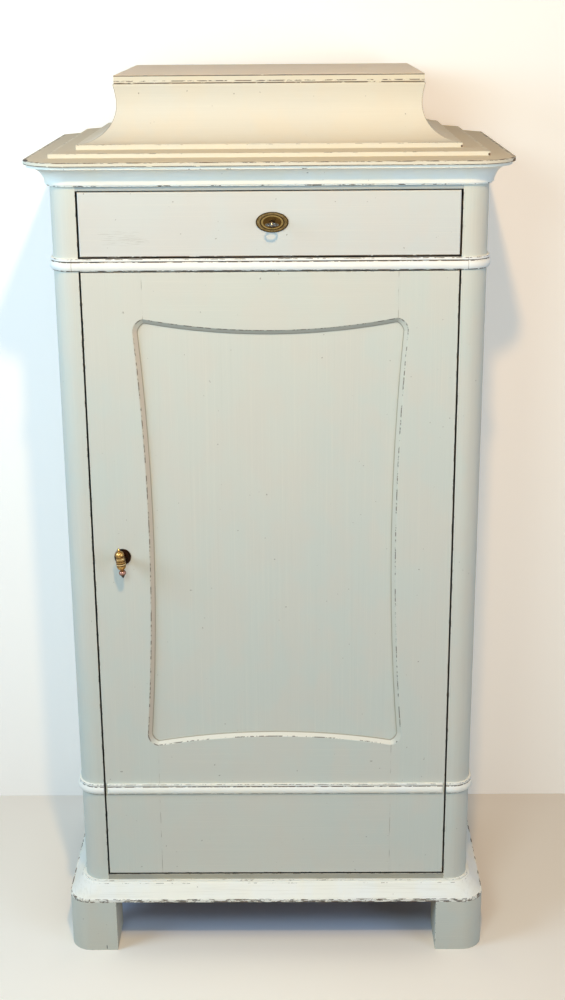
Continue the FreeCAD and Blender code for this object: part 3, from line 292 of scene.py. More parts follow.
def pine_colour(finish, way, light=PINE, dark=PINE_DARK):
    """Bare pine: wavy year rings drawn out along the board, fine pores and a knot here and there."""
    sizes = {"X": (0.9, 0.05, 0.035), "Y": (0.05, 0.9, 0.035), "Z": (0.05, 0.05, 0.9)}[way]
    field = grain(finish, sizes, detail=3.0, rough=0.55)
    rings = reckon(finish, "FRACT", reckon(finish, "MULTIPLY", field, 16.0))
    late = from_to(finish, rings, 0.45, 0.95)
    colour = over(finish, reckon(finish, "MULTIPLY", late, 0.55), light, dark)
    fibre = grain(finish, drawn_out(way, *PORE), detail=3.0)
    colour = over(finish, from_to(finish, fibre, 0.52, 0.70), colour,
                  over(finish, 0.35, light, dark))
    stain = from_to(finish, grain(finish, (0.35, 0.35, 0.35), shift=4.0), 0.40, 0.70)
    return over(finish, reckon(finish, "MULTIPLY", stain, 0.30), colour, dark), fibre


def dress(finish, shader, colour, rough, ease, height, relief=0.5):
    """Gives a surface its colour and roughness, arrises softened by ease and a fine relief."""
    eased = step(finish, "Bevel", {"Radius": ease}, samples=4)
    bumps = step(finish, "Bump", {"Strength": relief, "Distance": 1.0, "Height": height, "Normal": eased})
    for socket, value in (("Base Color", colour), ("Roughness", rough), ("Normal", bumps)):
        finish.node_tree.links.new(value, shader.inputs[socket])


def grey_paint(name, way, worn_where=None, lines=(), bare=None, tints=(GREY, GREY_COOL, GREY_WARM),
               wear=1.0, marks=()):
    """Matt paint brushed along way, over which marks of (mask, colour) are laid. The mask worn_where
    limits the edges that are worn, wear is how much they are, and the mask bare shows the wood. Lines
    worn off, and dashed lines of painted shade in grooves and under mouldings, are (axis, place, half
    width, share)."""
    finish, shader = new_finish(name)
    patches = from_to(finish, grain(finish, (0.30, 0.30, 0.30), shift=1.0), 0.35, 0.65)
    clouds = from_to(finish, grain(finish, (0.05, 0.05, 0.09), detail=3.0, shift=2.0), 0.40, 0.62)
    hairs = grain(finish, drawn_out(way, *BRUSH_HAIR), detail=4.0, rough=0.6)
    colour = over(finish, patches, tints[1], tints[0])
    colour = over(finish, reckon(finish, "MULTIPLY", clouds, 0.45), colour, tints[2])
    lighter = reckon(finish, "MULTIPLY", from_to(finish, hairs, 0.52, 0.72), 0.11)
    colour = over(finish, lighter, colour, RIM)
    darker = reckon(finish, "MULTIPLY", from_to(finish, hairs, 0.44, 0.28), 0.07)
    colour = over(finish, darker, colour, tints[1], "MULTIPLY")
    specks = from_to(finish, grain(finish, (0.006, 0.006, 0.006), detail=1.0, shift=5.0), 0.79, 0.82)
    colour = over(finish, reckon(finish, "MULTIPLY", specks, 0.5), colour, WEAR_AND_SHADE_BROWN)

    edge = edges(finish, 0.0022)
    if worn_where:
        edge = reckon(finish, "MULTIPLY", edge, worn_where(finish))
    colour = over(finish, reckon(finish, "MULTIPLY", edge, 0.55), colour, RIM)
    dashes = grain(finish, drawn_out(way, *WORN_DASH), detail=3.0, rough=0.7, shift=7.0)
    broken = from_to(finish, dashes, 0.60 - 0.06 * wear, 0.66 - 0.06 * wear)
    # The edges and lines: worn paint, and painted shade where a line lies in a groove or under a moulding.
    worn = most(finish, [reckon(finish, "MULTIPLY", from_to(finish, edge, 0.35, 0.7), broken)]
                + [wear_and_shade_line(finish, way, *line) for line in lines])
    colour = over(finish, reckon(finish, "MULTIPLY", worn, 0.92), colour,
                  over(finish, from_to(finish, dashes, 0.48, 0.62), WEAR_AND_SHADE_BROWN, WEAR_AND_SHADE_DARK))
    if bare:
        wood, fibre = pine_colour(finish, way)
        colour = over(finish, bare(finish), colour, wood)
    for mask, mark in marks:
        colour = over(finish, mask(finish), colour, mark)
    uneven = reckon(finish, "MULTIPLY", from_to(finish, hairs, 0.2, 0.8, "LINEAR"), 0.12)
    dress(finish, shader, colour, reckon(finish, "ADD", uneven, 0.56), 0.0007,
          reckon(finish, "MULTIPLY", hairs, 0.00006), 0.55)
    shader.inputs["Specular IOR Level"].default_value = 0.35
    return finish


def nowhere(finish):
    """A mask that leaves the piece as it is."""
    return 0.0


def everywhere(finish):
    """A mask of the whole piece."""
    return 1.0


def paint(finish, *names):
    """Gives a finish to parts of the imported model."""
    for name in names:
        materials = nodes[name].data.materials
        materials.clear()
        materials.append(finish)


def blot(centre, radii, ragged=0.35):
    """A mask of one ragged mark round a place, with its half sizes along X, Y and Z."""
    def mask(finish):
        moved = step(finish, "VectorMath", {0: spot_on(finish), 1: centre}, operation="SUBTRACT")
        scaled = step(finish, "VectorMath", {0: moved, 1: radii}, operation="DIVIDE")
        away = step(finish, "VectorMath", {0: scaled}, result="Value", operation="LENGTH")
        rough = reckon(finish, "MULTIPLY", grain(finish, [r * 0.5 for r in radii], detail=3.0),
                       ragged * 2)
        return from_to(finish, reckon(finish, "ADD", away, rough), 1.15, 0.95)
    return mask


FOOT_GREYS = (tone(220, 220, 206), tone(213, 217, 208), tone(222, 216, 200))
foot_low, foot_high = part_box("foot_front_left")
foot_crack = blot((-0.2935, foot_low.y, 0.006), (0.0009, 0.003, 0.006))
paint(grey_paint("foot_paint", "X", marks=[(foot_crack, WEAR_AND_SHADE_DARK)], tints=FOOT_GREYS,
                 lines=[("Z", foot_high.z, 0.0012, 0.30)]),
      "foot_front_left", "foot_front_right", "feet_back")

# ---------------------------------------------------------------- base moulding
# Three lengths of a broad sloping pine moulding with an edge below and a fillet above, mitred round
# the case and glued on the feet. Off-white paint, rubbed brown on the edges by shoes and brooms.

WHITE = tone(249, 249, 244)
WHITE_COOL = tone(244, 247, 244)
WHITE_WARM = tone(250, 246, 234)
WHITES = (WHITE, WHITE_COOL, WHITE_WARM)


def white_paint(name, way, lines, tints=WHITES, marks=()):
    """The same brushwork in off-white, for mouldings, worn along level lines only."""
    return grey_paint(name, way, lines=lines, tints=tints, worn_where=nowhere, marks=marks)


def brush_streaks(way, share):
    """Soft grey streaks where the white is thin, drawn out along the moulding."""
    def mask(finish):
        thin = grain(finish, drawn_out(way, 0.14, 0.0035), detail=4.0, rough=0.65, shift=3.0)
        return reckon(finish, "MULTIPLY", from_to(finish, thin, 0.50, 0.66), share)
    return mask


base_low, base_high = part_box("base_moulding_front")
base_lines = [("Z", base_low.z + 0.0012, 0.0018, 0.62), ("Z", base_low.z + 0.0042, 0.0014, 0.45),
              ("Z", base_high.z - 0.0042, 0.0003, 0.30), ("Z", base_high.z - 0.0004, 0.0005, 0.25)]
BASE_WHITES = (tone(254, 252, 242), tone(252, 252, 245), tone(255, 249, 230))
THIN_WHITE = tone(206, 201, 184)
for way, sides in (("X", ["front"]), ("Y", ["left", "right"])):
    paint(white_paint("base_paint_" + way.lower(), way, base_lines, tints=BASE_WHITES,
                      marks=[(brush_streaks(way, 0.18), THIN_WHITE)]),
          *["base_moulding_" + side for side in sides])

# ---------------------------------------------------------------- posts and sides
# Two pine posts with a rounded outer corner, and a wide board behind each, glued in one plane. They
# are painted outside and bare inside the case.


def beyond(axis, low, high, ease=0.0008):
    """A mask that is 1 outside low to high along an axis."""
    def mask(finish):
        place = along(finish, axis)
        return most(finish, [from_to(finish, place, low, low - ease),
                             from_to(finish, place, high, high + ease)])
    return mask


def behind(depth, ease=0.004):
    """A mask of bare wood from a depth behind the front, with a ragged brush edge further in."""
    def mask(finish):
        ragged = reckon(finish, "MULTIPLY", grain(finish, (0.012, 0.012, 0.012), detail=3.0), 0.012)
        place = reckon(finish, "SUBTRACT", along(finish, "Y"), ragged)
        return from_to(finish, place, FRONT + depth, FRONT + depth + ease)
    return mask


def inside_of(half):
    """A mask of bare wood nearer to the middle than half a width."""
    return lambda finish: from_to(finish, off_middle(finish), half, half - 0.0004)


GAP_DIRT_AND_SHADE = tone(44, 37, 30)


def gap_dirt_and_shade(where):
    """A mask of dirt and painted shade on the faces in the gaps round door and drawer, fading away behind the
    front.
    """
    def mask(finish):
        depth = along(finish, "Y")
        return product(finish, [from_to(finish, depth, FRONT + 0.0006, FRONT + 0.0012),
                                from_to(finish, depth, FRONT + 0.030, FRONT + 0.008),
                                where(finish)])
    return mask


post_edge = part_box("post_right")[0].x
side_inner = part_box("side_right")[0].x


def beside_door(finish):
    """1 on the edge of the post beside door and drawer."""
    return from_to(finish, off_middle(finish), post_edge + 0.006, post_edge + 0.003)


def inside_case(finish):
    """The bare wood of the post, on its inner faces only."""
    return product(finish, [behind(0.026)(finish), inside_of(side_inner + 0.016)(finish)])


# Dirt and painted shade darken the post's faces in the gap beside door and drawer.
post_gap = gap_dirt_and_shade(inside_of(post_edge + 0.0004))
paint(grey_paint("post_paint", "Z", worn_where=beside_door, bare=inside_case, marks=[(post_gap, GAP_DIRT_AND_SHADE)]),
      "post_left", "post_right")
paint(grey_paint("side_paint", "Z", worn_where=nowhere, bare=inside_of(side_inner + 0.001)),
      "side_left", "side_right")

# ---------------------------------------------------------------- rails and bottom board
# The rail over the drawer, the rail between drawer and door and the bottom board join the posts.
# Only their front edges are painted. Shoes have darkened the strip under the door.

# The rail over the drawer gets darker greys and a dashed dark line just under the cornice moulding: painted
# shade of the cornice over it.
SHADED_RAIL_GREYS = (tone(182, 186, 182), tone(174, 183, 182), tone(190, 190, 180))
SCUFFED_GREYS = (tone(176, 173, 158), tone(160, 160, 150), tone(186, 178, 156))
every_face = [(gap_dirt_and_shade(everywhere), GAP_DIRT_AND_SHADE)]
paint(grey_paint("top_rail_paint", "X", bare=behind(0.002), marks=every_face, worn_where=nowhere,
                 lines=[("Z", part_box("cornice_moulding_front")[0].z - 0.0006, 0.0006, 0.35)],
                 tints=SHADED_RAIL_GREYS), "top_rail")
paint(grey_paint("mid_rail_paint", "X", bare=behind(0.002), marks=every_face), "mid_rail")
paint(grey_paint("threshold_paint", "X", bare=behind(0.002), wear=1.4, marks=every_face,
                 tints=SCUFFED_GREYS), "case_bottom")

# ---------------------------------------------------------------- bare boards
# Everything behind the paint is bare pine, yellowed and stained with age: shelves and their cleats,
# back boards, top, dust board, drawer runners and stops, the drawer's inside and the panel's beads.


def bare_pine(name, way, light=PINE, dark=PINE_DARK):
    finish, shader = new_finish(name)
    colour, fibre = pine_colour(finish, way, light, dark)
    worn = over(finish, reckon(finish, "MULTIPLY", edges(finish, 0.002), 0.5), colour, dark)
    rough = reckon(finish, "ADD", reckon(finish, "MULTIPLY", fibre, 0.3), 0.5)
    dress(finish, shader, worn, rough, 0.0008, reckon(finish, "MULTIPLY", fibre, 0.00012))
    shader.inputs["Specular IOR Level"].default_value = 0.3
    return finish


paint(bare_pine("shelf_pine", "X"), "shelf_1", "shelf_2", "shelf_3", "case_top", "dust_board", "drawer_stops")
paint(bare_pine("runner_pine", "Y"), "shelf_cleats", "drawer_runners")
OLD_PINE = tone(176, 138, 96)
OLD_PINE_DARK = tone(118, 84, 54)
paint(bare_pine("back_pine", "Z", OLD_PINE, OLD_PINE_DARK), "back_boards")
paint(bare_pine("hood_back_pine", "X", OLD_PINE, OLD_PINE_DARK), "hood_back")

# ---------------------------------------------------------------- mouldings round the case
# A half-round with a groove and a fillet over it runs round the case between drawer and door, and
# again low on the door and the posts. The pine lengths are glued on and painted off-white.


def band_lines(node):
    """The lines of a half-round band: worn at its lower arris and the top of the fillet, and dark in the
    groove with dirt and painted shade.
    """
    low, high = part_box(node)
    return [("Z", low.z + 0.0008, 0.0011, 0.65), ("Z", high.z - 0.0042, 0.0008, 1.1),
            ("Z", high.z - 0.0048, 0.0011, 0.65), ("Z", high.z - 0.0006, 0.0006, 0.50)]


mid_lines = band_lines("mid_moulding_front")
low_lines = band_lines("door_band")
mid_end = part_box("mid_moulding_front")[1].x
HAIRLINE = tone(128, 112, 92)
paint(white_paint("mid_moulding_paint", "X", mid_lines,
                  marks=[(beyond("X", 0.0006 - mid_end, mid_end - 0.0006, 0.0003), HAIRLINE)]),
      "mid_moulding_front")
paint(white_paint("mid_return_paint", "Y", mid_lines), "mid_moulding_left", "mid_moulding_right")
paint(white_paint("band_paint", "X", low_lines, tints=BASE_WHITES), "door_band")
paint(white_paint("band_return_paint", "Y", low_lines, tints=BASE_WHITES), "post_band_left",
      "post_band_right")

# ---------------------------------------------------------------- cornice moulding
# A pine hollow between two fillets, in a front length and two returns, mitred at the corners and
# glued under the cornice board. Off-white paint, worn along the lower arris.

cornice_low, cornice_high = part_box("cornice_moulding_front")
cornice_lines = [("Z", cornice_low.z + 0.0006, 0.0009, 0.34),
                 ("Z", cornice_high.z - 0.0040, 0.0006, 0.15)]
nail_hole = blot((0.3066, FRONT - 0.033, 1.3330), (0.0009, 0.003, 0.0009), ragged=0.1)
paint(white_paint("cornice_moulding_paint", "X", cornice_lines, tints=BASE_WHITES,
                  marks=[(nail_hole, WEAR_AND_SHADE_DARK)]), "cornice_moulding_front")
paint(white_paint("cornice_return_paint", "Y", cornice_lines, tints=BASE_WHITES),
      "cornice_moulding_left", "cornice_moulding_right")

# ---------------------------------------------------------------- cornice board and steps
# A board with round corners and a sloping top, and two stepped boards on it that carry the hood.
# Cream paint on the upright edges, tan on the slopes and tops.

CREAMS = (tone(231, 224, 204), tone(228, 223, 206), tone(234, 224, 199))
TAN = tone(214, 203, 179)


def top_from(height):
    """A mask of everything from a height up."""
    return lambda finish: from_to(finish, along(finish, "Z"), height - 0.0003, height + 0.0002)


board_low, board_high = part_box("cornice_board")
board_edge = board_low.z + 0.0055
tip_left = blot((board_low.x + 0.007, board_low.y + 0.050, board_edge), (0.012, 0.025, 0.0009))
tip_right = blot((board_high.x - 0.004, board_low.y + 0.048, board_low.z + 0.002), (0.010, 0.022, 0.004))
paint(grey_paint("cornice_board_paint", "X", tints=CREAMS, worn_where=nowhere,
                 lines=[("Z", board_edge, 0.0006, 0.58), ("Z", board_low.z + 0.0006, 0.0006, 0.85)],
                 marks=[(top_from(board_edge + 0.0005), TAN), (tip_left, WEAR_AND_SHADE_DARK),
                        (tip_right, WEAR_AND_SHADE_BROWN)]), "cornice_board")
for step_node, rise in (("hood_step_lower", 0.006), ("hood_step_upper", 0.0068)):
    step_low, step_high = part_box(step_node)
    end_spot = blot((step_high.x - 0.001, step_low.y, step_low.z + 0.002), (0.003, 0.003, 0.0025))
    paint(grey_paint(step_node + "_paint", "X", tints=CREAMS, worn_where=nowhere,
                     lines=[("Z", step_low.z + rise, 0.0004, 0.30)],
                     marks=[(top_from(step_low.z + rise + 0.0003), TAN), (end_spot, WEAR_AND_SHADE_BROWN)]), step_node)

# ---------------------------------------------------------------- hood
# Three hollow pine boards, mitred at the corners, stand on the upper step and carry a flat top board.
# They are painted a warm grey; the upper face of the top board is painted lighter, as painted light from
# above. The back is a bare board.


def mitre_line(from_middle):
    """The hairline along the mitre at the end of a hollow board."""
    def mask(finish):
        far = from_to(finish, off_middle(finish), from_middle, from_middle + 0.005)
        return product(finish, [edges(finish, 0.0012), far])
    return mask


cap_low, cap_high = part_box("hood_top")
COVE_MITRE = 0.205
HOOD_GREYS = (tone(227, 219, 199), tone(223, 218, 203), tone(229, 217, 194))
paint(grey_paint("hood_cove_paint", "X", worn_where=nowhere, tints=HOOD_GREYS,
                 marks=[(mitre_line(COVE_MITRE), HAIRLINE)]), "hood_cove_front")
paint(grey_paint("hood_side_paint", "Y", worn_where=nowhere, tints=HOOD_GREYS),
      "hood_cove_left", "hood_cove_right")
CAP_CREAMS = (tone(226, 217, 194), tone(223, 217, 199), tone(230, 217, 189))
# Painted light: the upper face of the top board is lighter.
CAP_TOP_PAINTED_LIGHT = tone(255, 242, 222)
paint(grey_paint("hood_top_paint", "X", tints=CAP_CREAMS, worn_where=nowhere,
                 marks=[(top_from(cap_high.z - 0.0001), CAP_TOP_PAINTED_LIGHT)],
                 lines=[("Z", cap_high.z - 0.0011, 0.0009, 1.15), ("Z", cap_low.z + 0.0012, 0.0011, 0.85),
                        ("Z", cap_low.z + 0.0042, 0.0008, 0.60)]), "hood_top")

# ---------------------------------------------------------------- door
# Two stiles, a rail above and a deep one below are mortised together round a flat panel that lies
# in a rebate behind a bevelled opening with bowed sides. The back of the door is bare.

OPENING_REACH = 0.24
RAIL_END = 0.1943
door_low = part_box("door_stile_left")[0]
door_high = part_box("door_stile_right")[1]


def near_opening(finish):
    """1 round the opening, 0 at the outer edges of the door."""
    return from_to(finish, off_middle(finish), OPENING_REACH + 0.01, OPENING_REACH)


def bevel_band(finish):
    """The bevel round the opening: behind the front of the door, and away from its outer edges."""
    depth = along(finish, "Y")
    sloped = product(finish, [from_to(finish, depth, FRONT + 0.0003, FRONT + 0.0007),
                              from_to(finish, depth, FRONT + 0.0056, FRONT + 0.0050)])
    return product(finish, [sloped, near_opening(finish)])


def bevel_facing(axis, way):
    """The part of the bevel that faces along an axis, way 1, or against it, way -1."""
    def mask(finish):
        normal = step(finish, "TexCoord", {}, result="Normal")
        facing = step(finish, "SeparateXYZ", {0: normal}, result=axis)
        return product(finish, [bevel_band(finish), from_to(finish, facing, way * 0.3, way * 0.6)])
    return mask


def bevel_rub(finish):
    """Paint worn off in dashes where the bevel leaves the front."""
    depth = along(finish, "Y")
    brink = product(finish, [from_to(finish, depth, FRONT + 0.0001, FRONT + 0.0003),
                             from_to(finish, depth, FRONT + 0.0015, FRONT + 0.0009)])
    dashes = from_to(finish, grain(finish, (0.008, 0.008, 0.008), detail=3.0, rough=0.7), 0.48, 0.56)
    return product(finish, [brink, dashes, near_opening(finish), 0.8])


def bevel_foot(finish):
    """A darker line at the foot of the bevel, against the panel."""
    depth = along(finish, "Y")
    return product(finish, [from_to(finish, depth, FRONT + 0.0044, FRONT + 0.0049),
                            from_to(finish, depth, FRONT + 0.0066, FRONT + 0.0060),
                            near_opening(finish), 0.7])


def rail_ends(finish):
    """The hairline where the rails meet the stiles, open in places."""
    front = from_to(finish, along(finish, "Y"), FRONT + 0.0006, FRONT + 0.0003)
    open_share = from_to(finish, grain(finish, (0.02, 0.02, 0.02), detail=2.0, shift=6.0), 0.42, 0.62)
    beyond_end = from_to(finish, off_middle(finish), RAIL_END, RAIL_END + 0.0005)
    return product(finish, [beyond_end, front, open_share])


# The bevel is painted darker than the front, lighter where it faces up, darker where it faces down and tan
# where it faces right: painted light and shade. A darker line runs along its foot, and the paint at its brink
# is worn off in dashes.
door_wear_and_bevel_shading = [(bevel_band, tone(208, 208, 196)), (bevel_facing("X", 1), tone(206, 196, 182)),
              (bevel_facing("Z", 1), tone(238, 233, 218)), (bevel_facing("Z", -1), tone(182, 182, 173)),
              (bevel_foot, tone(142, 130, 108)), (bevel_rub, tone(86, 72, 56))]
paint(grey_paint("stile_paint", "Z", worn_where=beyond("X", door_low.x + 0.004, door_high.x - 0.004),
                 bare=behind(0.012), marks=door_wear_and_bevel_shading), "door_stile_left", "door_stile_right")
paint(grey_paint("door_rail_paint", "X", worn_where=beyond("Z", door_low.z + 0.004, door_high.z - 0.004),
                 bare=behind(0.012), marks=door_wear_and_bevel_shading + [(rail_ends, HAIRLINE)]),
      "door_top_rail", "door_bottom_rail")
paint(grey_paint("panel_paint", "Z", worn_where=nowhere, bare=behind(0.006, 0.002)), "door_panel")
paint(bare_pine("bead_pine", "Z"), "panel_beads")

# ---------------------------------------------------------------- hinges and strikes
# Forged pivot plates let into rail, bottom board and door, and slotted plates for latch and bolt,
# all of dull iron held with slotted screws. Like screws hold the cleats, the beads and the lock.


def metal(name, bright, dull, grime, rough, patch=0.02, marks=()):
    """Old metal: bright and dull in cloudy patches, with fine specks of grime."""
    finish, shader = new_finish(name)
    cloud = from_to(finish, grain(finish, [patch] * 3, detail=4.0, rough=0.65), 0.38, 0.66)
    fine = grain(finish, [patch / 8] * 3, detail=3.0)
    colour = over(finish, cloud, bright, dull)
    for mask, mark in marks:
        colour = over(finish, mask(finish), colour, mark)
    colour = over(finish, from_to(finish, fine, 0.52, 0.70), colour, grime)
    dulled = reckon(finish, "ADD", reckon(finish, "MULTIPLY", cloud, 0.22), rough)
    dress(finish, shader, colour, dulled, 0.0004, reckon(finish, "MULTIPLY", fine, 0.00012))
    shader.inputs["Metallic"].default_value = 1.0
    return finish


iron = metal("old_iron", tone(132, 126, 120), tone(92, 84, 78), tone(84, 58, 42), 0.38)
paint(iron, "hinge_plates", "hinge_sockets", "strike_plates", "latch_tongue", "lock_case", "lock_bolt")


def as_piece(form, name, body, finish):
    """Makes a shown piece of a finished form and lets it ride on a body."""
    bmesh.ops.recalc_face_normals(form, faces=form.faces)
    mesh = bpy.data.meshes.new(name)
    form.to_mesh(mesh)
    form.free()
    piece = bpy.data.objects.new(name, mesh)
    bpy.context.scene.collection.objects.link(piece)
    mesh.materials.append(finish)
    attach(piece, body)


def add_screw(form, place, facing, radius=0.0030, proud=0.0004, turn=0.6):
    """A countersunk screw: a low disc with a slot sunk in it, facing along an axis."""
    screw = bmesh.new()
    bmesh.ops.create_circle(screw, cap_ends=True, segments=24, radius=radius)
    for side in (-1, 1):
        bmesh.ops.bisect_plane(screw, geom=screw.verts[:] + screw.edges[:] + screw.faces[:],
                               plane_co=(side * radius * 0.16, 0, 0), plane_no=(1, 0, 0))
    slot_faces = [f for f in screw.faces if abs(f.calc_center_median().x) < radius * 0.1]
    sunk = bmesh.ops.extrude_face_region(screw, geom=slot_faces)
    bmesh.ops.delete(screw, geom=slot_faces, context="FACES_ONLY")
    bottom = [v for v in sunk["geom"] if isinstance(v, bmesh.types.BMVert)]
    bmesh.ops.translate(screw, verts=bottom, vec=(0, 0, -radius * 0.3))
    rim = [e for e in screw.edges if e.is_boundary and (e.verts[0].co.z > -radius * 0.1)
           and (e.verts[1].co.z > -radius * 0.1)]
    skirt = bmesh.ops.extrude_edge_only(screw, edges=rim)
    lower = [v for v in skirt["geom"] if isinstance(v, bmesh.types.BMVert)]
    bmesh.ops.translate(screw, verts=lower, vec=(0, 0, -proud * 2))
    bmesh.ops.scale(screw, verts=lower, vec=(1.04, 1.04, 1.0))
    bmesh.ops.translate(screw, verts=screw.verts[:], vec=(0, 0, proud))
    turned = Vector(facing).to_track_quat("Z", "Y").to_matrix().to_4x4()
    screw.transform(Matrix.Translation(place) @ turned @ Matrix.Rotation(turn, 4, "Z"))
    mesh = bpy.data.meshes.new("screw")
    screw.to_mesh(mesh)
    screw.free()
    form.from_mesh(mesh)
    bpy.data.meshes.remove(mesh)


plate_low, plate_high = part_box("hinge_plates")
strike_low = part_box("strike_plates")[0]
mid_y = (plate_low.y + plate_high.y) / 2
case_screws = bmesh.new()
door_screws = bmesh.new()
bottom_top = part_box("case_bottom")[1].z
rail_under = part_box("mid_rail")[0].z

# Two screws hold each hinge plate and each socket plate.
for number, place in enumerate((plate_low.x + 0.006, plate_low.x + 0.017)):
    add_screw(case_screws, (place, mid_y, bottom_top), (0, 0, 1), turn=number + 0.3)
    add_screw(case_screws, (place, mid_y, rail_under), (0, 0, -1), turn=number + 0.9)
    add_screw(door_screws, (place, mid_y, door_low.z), (0, 0, -1), turn=number + 0.5)
    add_screw(door_screws, (place, mid_y, door_high.z), (0, 0, 1), turn=number + 1.4)

# The strikes of latch and lock have a screw near each end.
latch_y = (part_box("latch_tongue")[1].y + FRONT + 0.0244) / 2
LATCH_STRIKE_SCREWS = (0.007, 0.083)
for height in [strike_low.z + up for up in LATCH_STRIKE_SCREWS]:
    add_screw(case_screws, (strike_low.x + 0.0015, latch_y, height), (1, 0, 0), turn=height * 40)
lock_low, lock_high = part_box("lock_case")
for place in (lock_low.x + 0.006, lock_high.x - 0.006):
    add_screw(case_screws, (place, FRONT + 0.0135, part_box("top_rail")[0].z), (0, 0, -1), turn=place * 50)

# Three screws run through each cleat into the side.
cleat_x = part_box("shelf_cleats")[1].x - 0.016
for shelf in ("shelf_1", "shelf_2", "shelf_3"):
    cleat_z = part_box(shelf)[0].z - 0.010
    for side in (-1, 1):
        for depth in (0.09, 0.25, 0.41):
            add_screw(case_screws, (side * cleat_x, FRONT + depth, cleat_z), (-side, 0, 0), 0.0036,
                      turn=depth * 9 + cleat_z)
as_piece(case_screws, "case_screws", "case", iron)

# Small screws hold the upright beads behind the panel, and larger ones the lock.
bead_low, bead_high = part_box("panel_beads")
for number in range(6):
    height = bead_low.z + 0.05 + number * (bead_high.z - bead_low.z - 0.10) / 5
    for place in (bead_low.x + 0.0035, bead_high.x - 0.0035):
        add_screw(door_screws, (place, bead_high.y, height), (0, 1, 0), 0.0013, 0.0002, turn=height * 30)
as_piece(door_screws, "door_screws", "door", iron)
lock_screws = bmesh.new()
for place in (lock_low.x + 0.005, lock_high.x - 0.005):
    for height in (lock_low.z + 0.006, lock_high.z - 0.008):
        add_screw(lock_screws, (place, lock_high.y, height), (0, 1, 0), 0.0022, turn=height * 70 + place)
as_piece(lock_screws, "lock_screws", "drawer", iron)

# ---------------------------------------------------------------- latch
# A turned bronze rosette lies on the stile, and a cast brass handle turns in front of it on the
# spindle that carries the iron tongue behind the door.

handle_low, handle_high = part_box("latch_handle")
handle_x = (handle_low.x + handle_high.x) / 2
handle_z = (handle_low.z + handle_high.z) / 2
LEAN = math.radians(6.5)


def up_the_handle(finish):
    """The height along the leaning axis of the handle, from its middle."""
    aside = reckon(finish, "SUBTRACT", along(finish, "X"), handle_x)
    above = reckon(finish, "SUBTRACT", along(finish, "Z"), handle_z)
    return reckon(finish, "SUBTRACT", reckon(finish, "MULTIPLY", above, math.cos(LEAN)),
                  reckon(finish, "MULTIPLY", aside, math.sin(LEAN)))


def rings(places, half):
    """A mask of thin rings round the handle."""
    def mask(finish):
        height = up_the_handle(finish)
        offs = [reckon(finish, "ABSOLUTE", reckon(finish, "SUBTRACT", height, place)) for place in places]
        return most(finish, [from_to(finish, off, half, half * 0.4) for off in offs])
    return mask


def below(place):
    return lambda finish: from_to(finish, up_the_handle(finish), place + 0.0006, place - 0.0006)


bronze = metal("dark_bronze", tone(66, 42, 30), tone(36, 28, 23), tone(20, 16, 14), 0.34, 0.008)
gilt = metal("gilt_brass", tone(206, 166, 100), tone(140, 102, 58), tone(64, 42, 26), 0.18, 0.0035, marks=[
    (below(-0.0130), tone(166, 124, 110)), (below(-0.0190), tone(46, 34, 28)),
    # Painted highlights: bright rings on the crests of the handle.
    (rings((-0.0016, 0.0072), 0.0008), tone(255, 232, 178)),
    # Painted shade: dark rings in the grooves of the handle.
    (rings((-0.0034, 0.0002, 0.0034), 0.0008), tone(84, 56, 34)),
    (rings((0.0106, -0.0112), 0.0010), tone(58, 38, 24))])
paint(bronze, "latch_rosette")
paint(gilt, "latch_handle")

# ---------------------------------------------------------------- drawer
# A thick front with rounded edges, painted, its sides dovetailed in. Sides, back and bottom are
# bare pine. A dry brush has left scratches low on the left of the front.

DRAWER_GREYS = (tone(218, 217, 210), tone(213, 216, 211), tone(219, 213, 204))
drawer_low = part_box("drawer_front")[0]


def dry_brush(finish):
    """Grey-brown scratches along the front, in one patch."""
    patch = blot((-0.222, FRONT, 1.2265), (0.075, 0.01, 0.022), ragged=0.5)(finish)
    hairs = grain(finish, (0.035, 0.01, 0.0008), detail=3.0, rough=0.6, shift=9.0)
    return product(finish, [patch, from_to(finish, hairs, 0.54, 0.64), 0.50])


paint(grey_paint("drawer_paint", "X", bare=behind(0.004), wear=0.8,
                 marks=[(dry_brush, tone(150, 138, 118))],
                 lines=[("Z", drawer_low.z + 0.0008, 0.0010, 0.85)], tints=DRAWER_GREYS),
      "drawer_front")
paint(bare_pine("drawer_pine", "Y"), "drawer_side_left", "drawer_side_right")
paint(bare_pine("drawer_back_pine", "X"), "drawer_back", "drawer_bottom")

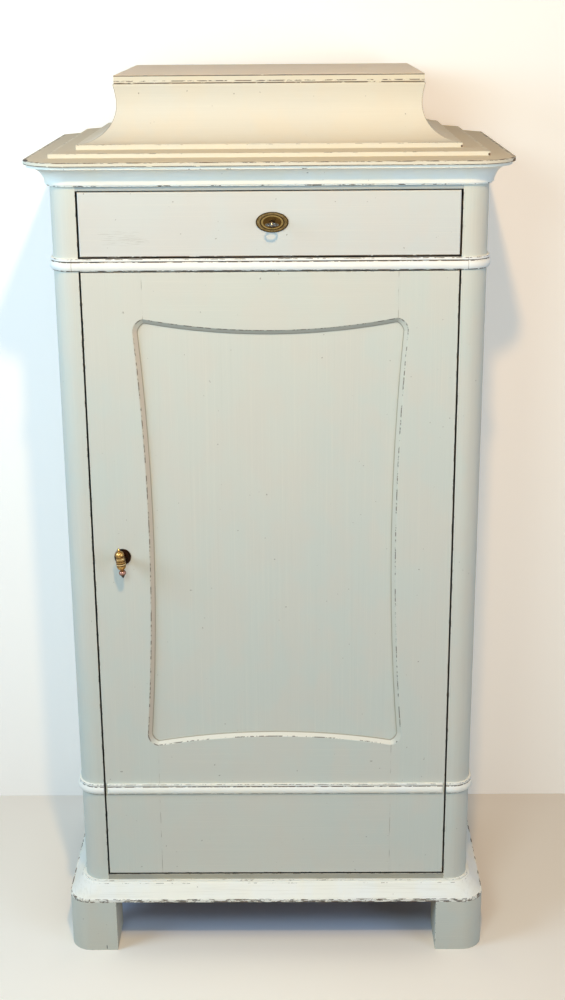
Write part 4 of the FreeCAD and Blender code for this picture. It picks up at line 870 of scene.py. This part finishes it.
# ---------------------------------------------------------------- escutcheon
# A stepped oval plate of aged brass lies round the keyhole on the drawer's front. Two round-headed
# brass pins hold it, one near each end.

plate_low, plate_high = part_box("escutcheon")
plate_middle = (plate_low + plate_high) / 2
plate_half = (plate_high - plate_low) / 2


def oval(inner, outer):
    """A mask of an oval band of the plate, from an inner to an outer share of its half width."""
    def mask(finish):
        moved = step(finish, "VectorMath", {0: spot_on(finish), 1: plate_middle}, operation="SUBTRACT")
        scaled = step(finish, "VectorMath", {0: moved, 1: (plate_half.x, 1.0, plate_half.z)},
                      operation="DIVIDE")
        away = step(finish, "VectorMath", {0: scaled}, result="Value", operation="LENGTH")
        return product(finish, [from_to(finish, away, inner - 0.03, inner + 0.02),
                                from_to(finish, away, outer + 0.03, outer - 0.02)])
    return mask


# The plate's steps are drawn in colour: a dark rim and groove of tarnish and painted shade, a painted
# highlight on the ridge, a dark brown middle and painted shade in the keyhole.
TARNISH_AND_STEP_SHADE = tone(62, 46, 26)
aged_brass = metal("aged_brass", tone(142, 118, 78), tone(104, 84, 50), tone(50, 38, 22), 0.30, 0.006, marks=[
    (oval(0.93, 9.0), TARNISH_AND_STEP_SHADE), (oval(0.68, 0.76), TARNISH_AND_STEP_SHADE), (oval(0.59, 0.66), tone(158, 132, 78)),
    (oval(-1.0, 0.56), tone(84, 60, 28)), (oval(-1.0, 0.17), tone(26, 20, 14))])
paint(aged_brass, "escutcheon")
pins = bmesh.new()
for place in (plate_low.x + 0.0032, plate_high.x - 0.0032):
    head = bmesh.ops.create_uvsphere(pins, u_segments=16, v_segments=10, radius=0.0011)["verts"]
    bmesh.ops.scale(pins, verts=head, vec=(1, 0.6, 1))
    bmesh.ops.translate(pins, verts=head, vec=(place, FRONT - 0.0014, plate_middle.z))
as_piece(pins, "escutcheon_pins", "drawer", aged_brass)

# ---------------------------------------------------------------- key
# A small steel key with a ring bow, forged in one piece and dark with age, stands in the lock and
# turns with its bolt.

paint(metal("key_steel", tone(128, 124, 118), tone(84, 80, 76), tone(40, 34, 30), 0.18, 0.003),
      "drawer_key")
